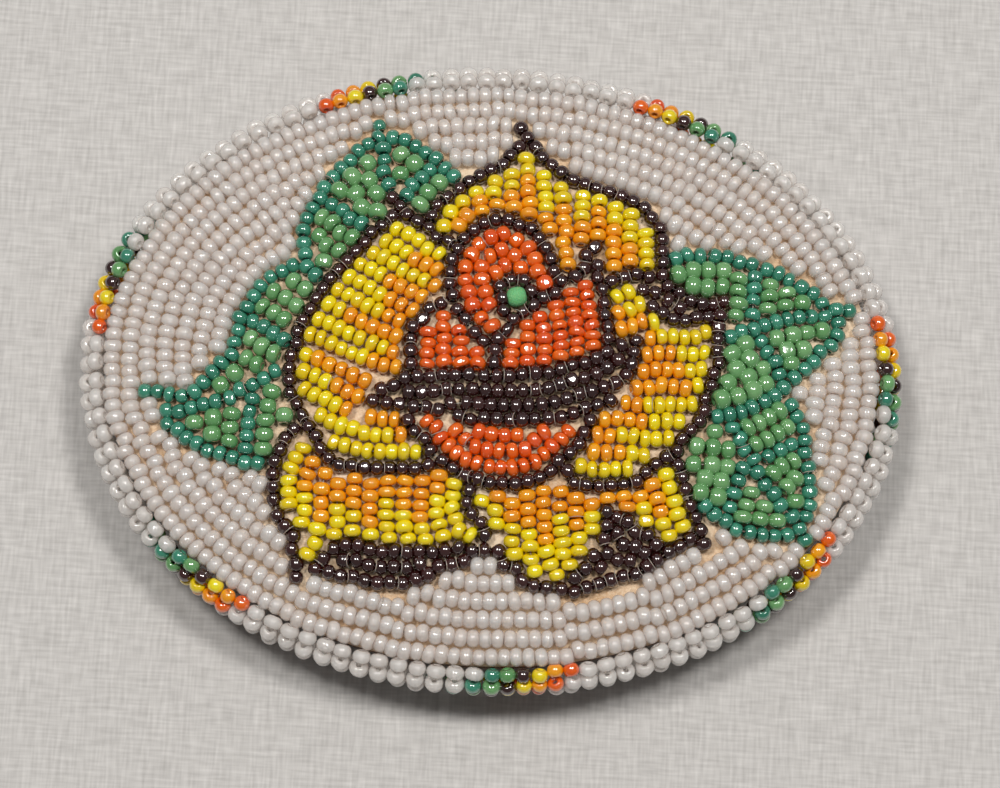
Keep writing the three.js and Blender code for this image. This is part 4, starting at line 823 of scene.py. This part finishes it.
# Loose nap: single hairs of the suede that stand up between the beads
nap, tree, shader = newMaterial("raised_suede_nap", {"Roughness": 0.9, "Sheen Weight": 0.3})
place = addNode(tree, "TexCoord")
mottle = addNode(tree, "TexNoise", {"Vector": place.outputs["Object"], "Scale": 1 / (0.6 * mm)})
tinted = addNode(tree, "Mix", {"Factor": mottle.outputs["Fac"], "A": toLinear(hideLook["light"]),
                               "B": toLinear(hideLook["hair"])}, data_type="RGBA")
tree.links.new(tinted.outputs["Result"], shader.inputs["Base Color"])
everyBead = KDTree(len(placed))
for i, bead in enumerate(placed):
    everyBead.insert((bead["at"][0], bead["at"][1], 0), i)
everyBead.balance()
points, faces = [], []
while len(faces) < 3 * hideLook["hairs"]:
    turn, reach = rng.random() * 2 * math.pi, math.sqrt(rng.random())
    x, y = fieldA * reach * math.cos(turn), fieldB * reach * math.sin(turn)
    if everyBead.find((x, y, 0))[2] < 0.78:
        continue
    lean = rng.random() * 2 * math.pi
    length = rng.uniform(*hideLook["hairLength"])
    foot = np.array([x, y, faceZ + float(crown(x, y)) - 0.05])
    away, wide = np.array([math.cos(lean), math.sin(lean), 0]), np.array([-math.sin(lean), math.cos(lean), 0])
    start = len(points)
    for step, width in ((0, 0.022), (0.4, 0.02), (0.75, 0.014), (1.0, 0.004)):
        lift = np.array([0, 0, length * math.sin(step * 1.9) * 0.8])
        spine = foot + away * length * 0.6 * step ** 1.6 + lift
        points += [(spine - wide * width) * mm, (spine + wide * width) * mm]
    faces += [(start + k, start + k + 1, start + k + 3, start + k + 2) for k in (0, 2, 4)]
addMesh("hide_nap", points, faces, nap)
print("hide stretched")

# Felt, interfacing and plate inside
# Pressed wool felt: matt, fibrous, grey
felt, tree, shader = newMaterial("pressed_wool_felt", {"Roughness": 1.0, "Sheen Weight": 0.4})
place = addNode(tree, "TexCoord")
fibre = addNode(tree, "TexNoise", {"Vector": place.outputs["Object"], "Scale": 1 / (0.5 * mm), "Detail": 5.0,
                                   "Distortion": 1.2})
tinted = addNode(tree, "Mix", {"Factor": fibre.outputs["Fac"], "A": toLinear("#6f6b64"),
                               "B": toLinear("#a7a39b")},
                 data_type="RGBA")
tree.links.new(tinted.outputs["Result"], shader.inputs["Base Color"])
bump = addNode(tree, "Bump", {"Height": fibre.outputs["Fac"], "Strength": 0.6, "Distance": 0.1 * mm})
tree.links.new(bump.outputs["Normal"], shader.inputs["Normal"])
feltBox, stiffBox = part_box("felt_pad"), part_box("stiffener")
feltPiece = domeShell("felt_pad_wool", -50, feltBox[1].z / mm - ground["rise"], feltBox[1].x / mm,
                      feltBox[1].y / mm, felt, 0.0, 16, 96)
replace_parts(feltPiece, "felt_pad")

# Woven cotton interfacing: plain weave stiffened with size
interfacing, tree, shader = newMaterial("sized_cotton_interfacing", {"Roughness": 0.9})
place = addNode(tree, "TexCoord")
split = addNode(tree, "SeparateXYZ", {"Vector": place.outputs["Object"]})
threads = []
for axis in ("X", "Y"):
    scaled = addNode(tree, "Math", {0: split.outputs[axis], 1: 2 * math.pi / (0.6 * mm)},
                     operation="MULTIPLY")
    threads.append(addNode(tree, "Math", {0: scaled.outputs["Value"]}, operation="SINE"))
weave = addNode(tree, "Math", {0: threads[0].outputs["Value"], 1: threads[1].outputs["Value"]},
                operation="MULTIPLY")
share = addNode(tree, "MapRange", {"Value": weave.outputs["Value"], "From Min": -1.0})
tinted = addNode(tree, "Mix", {"Factor": share.outputs["Result"], "A": toLinear("#c9c3b5"),
                               "B": toLinear("#ece7dc")},
                 data_type="RGBA")
tree.links.new(tinted.outputs["Result"], shader.inputs["Base Color"])
bump = addNode(tree, "Bump", {"Height": weave.outputs["Value"], "Strength": 0.5, "Distance": 0.08 * mm})
tree.links.new(bump.outputs["Normal"], shader.inputs["Normal"])
stiffTop = stiffBox[1].z / mm - ground["rise"]
stiffPiece = domeShell("stiffener_cloth", stiffTop - 0.5, stiffTop, stiffBox[1].x / mm, stiffBox[1].y / mm,
                       interfacing, 0.0, 16, 96)
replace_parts(stiffPiece, "stiffener")

# Steel
# Nickel-plated mild steel, tumbled and lightly brushed along its length: bright with fine hairlines
steel, tree, shader = newMaterial("nickel_plated_steel", {"Metallic": 1.0})
place = addNode(tree, "TexCoord")
stretched = addNode(tree, "Mapping", {"Vector": place.outputs["Object"],
                                      "Scale": (1 / (0.12 * mm), 1 / (2.4 * mm),
                                                1 / (0.12 * mm))})
hairlines = addNode(tree, "TexNoise", {"Vector": stretched.outputs["Vector"], "Scale": 1.0, "Detail": 3.0})
smudges = addNode(tree, "TexNoise", {"Vector": place.outputs["Object"], "Scale": 1 / (7 * mm), "Detail": 3.0})
tinted = addNode(tree, "Mix", {"Factor": smudges.outputs["Fac"], "A": toLinear("#9c9a95"),
                               "B": toLinear("#c9c8c4")},
                 data_type="RGBA")
tree.links.new(tinted.outputs["Result"], shader.inputs["Base Color"])
rough = addNode(tree, "MapRange", {"Value": hairlines.outputs["Fac"], "To Min": 0.2, "To Max": 0.46})
tree.links.new(rough.outputs["Result"], shader.inputs["Roughness"])
bump = addNode(tree, "Bump", {"Height": hairlines.outputs["Fac"], "Strength": 0.12, "Distance": 0.02 * mm})
tree.links.new(bump.outputs["Normal"], shader.inputs["Normal"])
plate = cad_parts["steel_plate"]
plate.data.materials.clear()
plate.data.materials.append(steel)


def finished(piece, modifiers):
    # the modifiers are worked into the mesh
    for kind, settings in modifiers:
        modifier = piece.modifiers.new(kind.lower(), kind)
        for name, value in settings.items():
            setattr(modifier, name, value)
    bpy.context.view_layer.update()
    mesh = bpy.data.meshes.new_from_object(piece.evaluated_get(bpy.context.evaluated_depsgraph_get()))
    piece.modifiers.clear()
    piece.data = mesh
    return piece


def prism(name, outline, low, high, material, axis="Z", body="root", smooth=False):
    # an outline of (u, v) in mm, pulled between two heights
    order = {"Z": lambda u, v, w: (u, v, w), "Y": lambda u, v, w: (u, w, v)}[axis]
    count = len(outline)
    points = [order(u, v, low) for u, v in outline] + [order(u, v, high) for u, v in outline]
    faces = [tuple(range(count))[::-1], tuple(range(count, 2 * count))]
    faces += [(i, (i + 1) % count, count + (i + 1) % count, count + i) for i in range(count)]
    if axis == "Y":
        faces = [face[::-1] for face in faces]
    return addMesh(name, np.array(points, float) * mm, faces, material, body, smooth)


# Leather back
# Vegetable-tanned cowhide: burnished edge, pebbled grain with darker pores
leatherLook = {"light": "#8a5a36", "deep": "#4f2f1b", "pebble": 0.55, "edge": 0.28}
leather, tree, shader = newMaterial("vegetable_tanned_leather", {"Specular IOR Level": 0.4})
place = addNode(tree, "TexCoord")
pebbles = addNode(tree, "TexVoronoi", {"Vector": place.outputs["Object"],
                                       "Scale": 1 / (leatherLook["pebble"] * mm)},
                  feature="DISTANCE_TO_EDGE")
creases = addNode(tree, "MapRange", {"Value": pebbles.outputs["Distance"], "From Max": 0.16})
dye = addNode(tree, "TexNoise", {"Vector": place.outputs["Object"], "Scale": 1 / (11 * mm), "Detail": 4.0})
toned = addNode(tree, "Mix", {"Factor": dye.outputs["Fac"], "A": toLinear(leatherLook["deep"]),
                              "B": toLinear(leatherLook["light"])}, data_type="RGBA")
pored = addNode(tree, "Mix", {"Factor": creases.outputs["Result"], "A": toLinear(leatherLook["deep"]),
                              "B": toned.outputs["Result"]}, data_type="RGBA")
tree.links.new(pored.outputs["Result"], shader.inputs["Base Color"])
rough = addNode(tree, "MapRange", {"Value": dye.outputs["Fac"], "To Min": 0.42, "To Max": 0.68})
tree.links.new(rough.outputs["Result"], shader.inputs["Roughness"])
bump = addNode(tree, "Bump", {"Height": creases.outputs["Result"], "Strength": 0.4, "Distance": 0.06 * mm})
tree.links.new(bump.outputs["Normal"], shader.inputs["Normal"])


def oval(a, b, count=180):
    turn = np.arange(count) * 2 * math.pi / count
    return list(zip(a * np.cos(turn), b * np.sin(turn)))


def rectangle(x, y, length, width):
    return [(x - length / 2, y - width / 2), (x + length / 2, y - width / 2), (x + length / 2, y + width / 2),
            (x - length / 2, y + width / 2)]


low, high = leatherBox[0].z / mm, leatherBox[1].z / mm
earBoxes = {side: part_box(f"bail_ear_{side}") for side in ("upper", "lower")}
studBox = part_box("hook_stud")
studX, studRadius = (studBox[0].x + studBox[1].x) / 2 / mm, (studBox[1].x - studBox[0].x) / 2 / mm
leatherPiece = prism("leather_back_hide", oval(leatherBox[1].x / mm, leatherBox[1].y / mm), low, high,
                     leather)
finished(leatherPiece, [("BEVEL", {"width": leatherLook["edge"] * mm, "segments": 3,
                                   "limit_method": "ANGLE"})])
for side, (lowCorner, highCorner) in earBoxes.items():
    middle, span = (lowCorner + highCorner) / 2 / mm, (highCorner - lowCorner) / mm
    window = prism(f"window_{side}", rectangle(middle.x, middle.y, span.x + 0.6, span.y + 0.6), low - 2,
                   high + 2, leather)
    finished(leatherPiece, [("BOOLEAN", {"operation": "DIFFERENCE", "solver": "EXACT", "object": window})])
    bpy.data.objects.remove(window)
window = prism("window_stud", [(studX + u, v) for u, v in oval(studRadius + 0.3, studRadius + 0.3, 48)],
               low - 2, high + 2, leather)
finished(leatherPiece, [("BOOLEAN", {"operation": "DIFFERENCE", "solver": "EXACT", "object": window})])
bpy.data.objects.remove(window)
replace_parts(leatherPiece, "leather_back")
print("leather cut")

# Ears, bail and stud
hardware = {"hinge": (22.0, 2.9), "ear": 2.9, "hole": 1.8, "wire": 1.5, "innerWidth": 39.0, "reach": 16.0,
            "bend": 3.0, "flange": 1.0, "shank": 2.1, "head": 3.2, "headHeight": 1.7, "bevel": 0.22}
hingeX, hingeZ = hardware["hinge"]
for side, (lowCorner, highCorner) in earBoxes.items():
    top, middleY = highCorner.z / mm, (lowCorner.y + highCorner.y) / 2 / mm
    swing = np.linspace(math.pi, 2 * math.pi, 25)
    radius = hardware["ear"]
    outline = ([(hingeX - radius - 0.6, top - 0.5)]
               + [(hingeX + radius * math.cos(t), hingeZ + radius * math.sin(t)) for t in swing]
               + [(hingeX + radius + 0.6, top - 0.5)])
    ear = prism(f"bail_ear_{side}_steel", outline, middleY - 2, middleY + 2, steel, "Y")
    bore = prism("bore", [(hingeX + u, hingeZ + v) for u, v in oval(hardware["hole"], hardware["hole"], 40)],
                 middleY - 4, middleY + 4, steel, "Y")
    flange = prism("flange", rectangle(hingeX, middleY, (highCorner.x - lowCorner.x) / mm,
                                       (highCorner.y - lowCorner.y) / mm), top - hardware["flange"], top,
                   steel)
    finished(ear, [("BOOLEAN", {"operation": "DIFFERENCE", "solver": "EXACT", "object": bore}),
                   ("BOOLEAN", {"operation": "UNION", "solver": "EXACT", "object": flange}),
                   ("BEVEL", {"width": hardware["bevel"] * mm, "segments": 3, "limit_method": "ANGLE",
                              "harden_normals": False})])
    for spare in (bore, flange):
        bpy.data.objects.remove(spare)
    ear.data.polygons.foreach_set("use_smooth", [True] * len(ear.data.polygons))
    ear.data.set_sharp_from_angle(angle=math.radians(32))
    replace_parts(ear, f"bail_ear_{side}")

wire, bend = hardware["wire"], hardware["bend"]
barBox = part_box("belt_bail")
barX, barZ = hingeX + hardware["reach"], barBox[1].z / mm - wire
armY, pinEnd = hardware["innerWidth"] / 2 + wire, barBox[1].y / mm
slope = (barZ - hingeZ) / hardware["reach"]


def armHeight(x):
    return hingeZ + slope * (x - hingeX)


def corner(a, b, c, count=14):
    a, b, c = (np.array(p, float) for p in (a, b, c))
    return [(1 - t) ** 2 * a + 2 * t * (1 - t) * b + t * t * c for t in np.linspace(0, 1, count)]


halfWire = [np.array([hingeX, pinEnd, hingeZ])]
halfWire += corner((hingeX, armY + wire * 1.2, hingeZ), (hingeX, armY, hingeZ),
                   (hingeX + wire * 1.2, armY, armHeight(hingeX + wire * 1.2)))
halfWire += corner((barX - bend, armY, armHeight(barX - bend)), (barX, armY, barZ), (barX, armY - bend, barZ))
wirePath = halfWire + [p * np.array([1, -1, 1]) for p in reversed(halfWire)]
sections = 24
points, faces = [], []
line = np.array(wirePath)
heading = np.gradient(line, axis=0)
heading /= np.linalg.norm(heading, axis=1, keepdims=True)
upward = np.array([-slope, 0, 1.0])
upward /= np.linalg.norm(upward)
ends = [(-0.0, 0.0, 0.55), (0.12, 0.0, 0.85), (0.35, 0.0, 1.0)]
stations = [(line[0] + heading[0] * shift, heading[0], share) for shift, _, share in ends]
stations += [(p, h, 1.0) for p, h in zip(line[1:-1], heading[1:-1])]
stations += [(line[-1] - heading[-1] * shift, heading[-1], share) for shift, _, share in reversed(ends)]
for p, h, share in stations:
    aside = np.cross(h, upward)
    aside /= np.linalg.norm(aside)
    rise = np.cross(aside, h)
    points += [p + wire * share * (aside * math.cos(t) + rise * math.sin(t))
               for t in np.arange(sections) * 2 * math.pi / sections]
for i in range(len(stations) - 1):
    for k in range(sections):
        a, b = i * sections + k, i * sections + (k + 1) % sections
        faces.append((a, a + sections, b + sections, b))
faces.append(tuple(range(sections)))
faces.append(tuple(reversed(range((len(stations) - 1) * sections, len(stations) * sections))))
bail = addMesh("belt_bail_wire", np.array(points) * mm, faces, steel, "bail")
bail.data.set_sharp_from_angle(angle=math.radians(50))
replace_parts(bail, "belt_bail")

# the stud is turned: a domed head, an undercut, a plain shank and a thin foot under the leather
foot = studBox[1].z / mm
head, tall, shank = hardware["head"], hardware["headHeight"], hardware["shank"]
flangeLow = foot - hardware["flange"]
profile = [(0, 0), (head * 0.55, 0), (head * 0.72, 0.06), (head * 0.9, 0.3), (head * 0.985, 0.6),
           (head, 0.85), (head * 0.985, 1.1), (head * 0.92, 1.35), (head * 0.8, tall - 0.1),
           (shank + 0.12, tall), (shank, tall + 0.15), (shank, flangeLow - 0.25),
           (shank + 0.07, flangeLow - 0.07), (shank + 0.25, flangeLow),
           (studRadius - 0.15, flangeLow), (studRadius, flangeLow + 0.15), (studRadius, foot - 0.12),
           (studRadius - 0.12, foot), (0, foot)]
sides = 64
points, faces = [], []
for r, z in profile:
    points += [(studX + r * math.cos(t), r * math.sin(t), z) for t in np.arange(sides) * 2 * math.pi / sides]
for i in range(len(profile) - 1):
    for k in range(sides):
        a, b = i * sides + k, i * sides + (k + 1) % sides
        faces.append((a, b, b + sides, a + sides))
stud = addMesh("hook_stud_turned", np.array(points) * mm, faces, steel)
stud.data.validate()
weld = [("WELD", {"merge_threshold": 0.001 * mm})]
finished(stud, weld)
stud.data.set_sharp_from_angle(angle=math.radians(40))
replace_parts(stud, "hook_stud")
print("hardware fitted")

# Floor and light
studio = {"floor": "#dad7d4", "cloth": 0.42, "lampHeight": 0.9, "lampApart": 0.5, "lampSize": 0.15,
          "lampPower": 4.2, "skyPower": 2.5, "skySize": 2.4, "fill": 0.14}
# Bleached cotton sheeting: an almost plain pale ground with a fine weave
sheeting, tree, shader = newMaterial("bleached_cotton_sheeting", {"Roughness": 0.95})
place = addNode(tree, "TexCoord")
along, across = 1 / (4 * mm), 1 / (studio["cloth"] * mm)
threads = []
for scale in ((along, across, 1), (across, along, 1)):
    run = addNode(tree, "Mapping", {"Vector": place.outputs["Object"], "Scale": scale})
    threads.append(addNode(tree, "TexNoise", {"Vector": run.outputs["Vector"], "Scale": 1.0, "Detail": 1.0}))
weave = addNode(tree, "Math", {0: threads[0].outputs["Fac"], 1: threads[1].outputs["Fac"]}, operation="ADD")
share = addNode(tree, "MapRange", {"Value": weave.outputs["Value"], "From Min": 0.2, "From Max": 1.75})
tinted = addNode(tree, "Mix", {"Factor": share.outputs["Result"], "A": toLinear("#a29f9c"),
                               "B": toLinear(studio["floor"])}, data_type="RGBA")
tree.links.new(tinted.outputs["Result"], shader.inputs["Base Color"])
floorMesh = bpy.data.meshes.new("floor")
floorMesh.from_pydata([(-1.5, -1.5, 0), (1.5, -1.5, 0), (1.5, 1.5, 0), (-1.5, 1.5, 0)], [], [(0, 1, 2, 3)])
floorMesh.materials.append(sheeting)
floor = bpy.data.objects.new("floor", floorMesh)
bpy.context.scene.collection.objects.link(floor)


def addLamp(name, place, size, power, aim=(0, 0, 0.01)):
    lamp = bpy.data.lights.new(name, "AREA")
    lamp.size, lamp.energy, lamp.color = size, power, (1.0, 0.985, 0.96)
    lampObject = bpy.data.objects.new(name, lamp)
    lampObject.location = place
    lampObject.rotation_mode = "QUATERNION"
    lampObject.rotation_quaternion = (Vector(place) - Vector(aim)).to_track_quat("Z", "Y")
    bpy.context.scene.collection.objects.link(lampObject)


for name, side in (("left_tube", -1), ("right_tube", 1)):
    addLamp(name, (side * studio["lampApart"] / 2, 0.12, studio["lampHeight"]), studio["lampSize"],
            studio["lampPower"])
addLamp("soft_ceiling", (0.1, 0.7, 1.5), studio["skySize"], studio["skyPower"])
world = bpy.data.worlds.new("room")
world.use_nodes = True
background = world.node_tree.nodes["Background"]
background.inputs["Color"].default_value = toLinear("#f2f1f0")
background.inputs["Strength"].default_value = studio["fill"]
bpy.context.scene.world = world
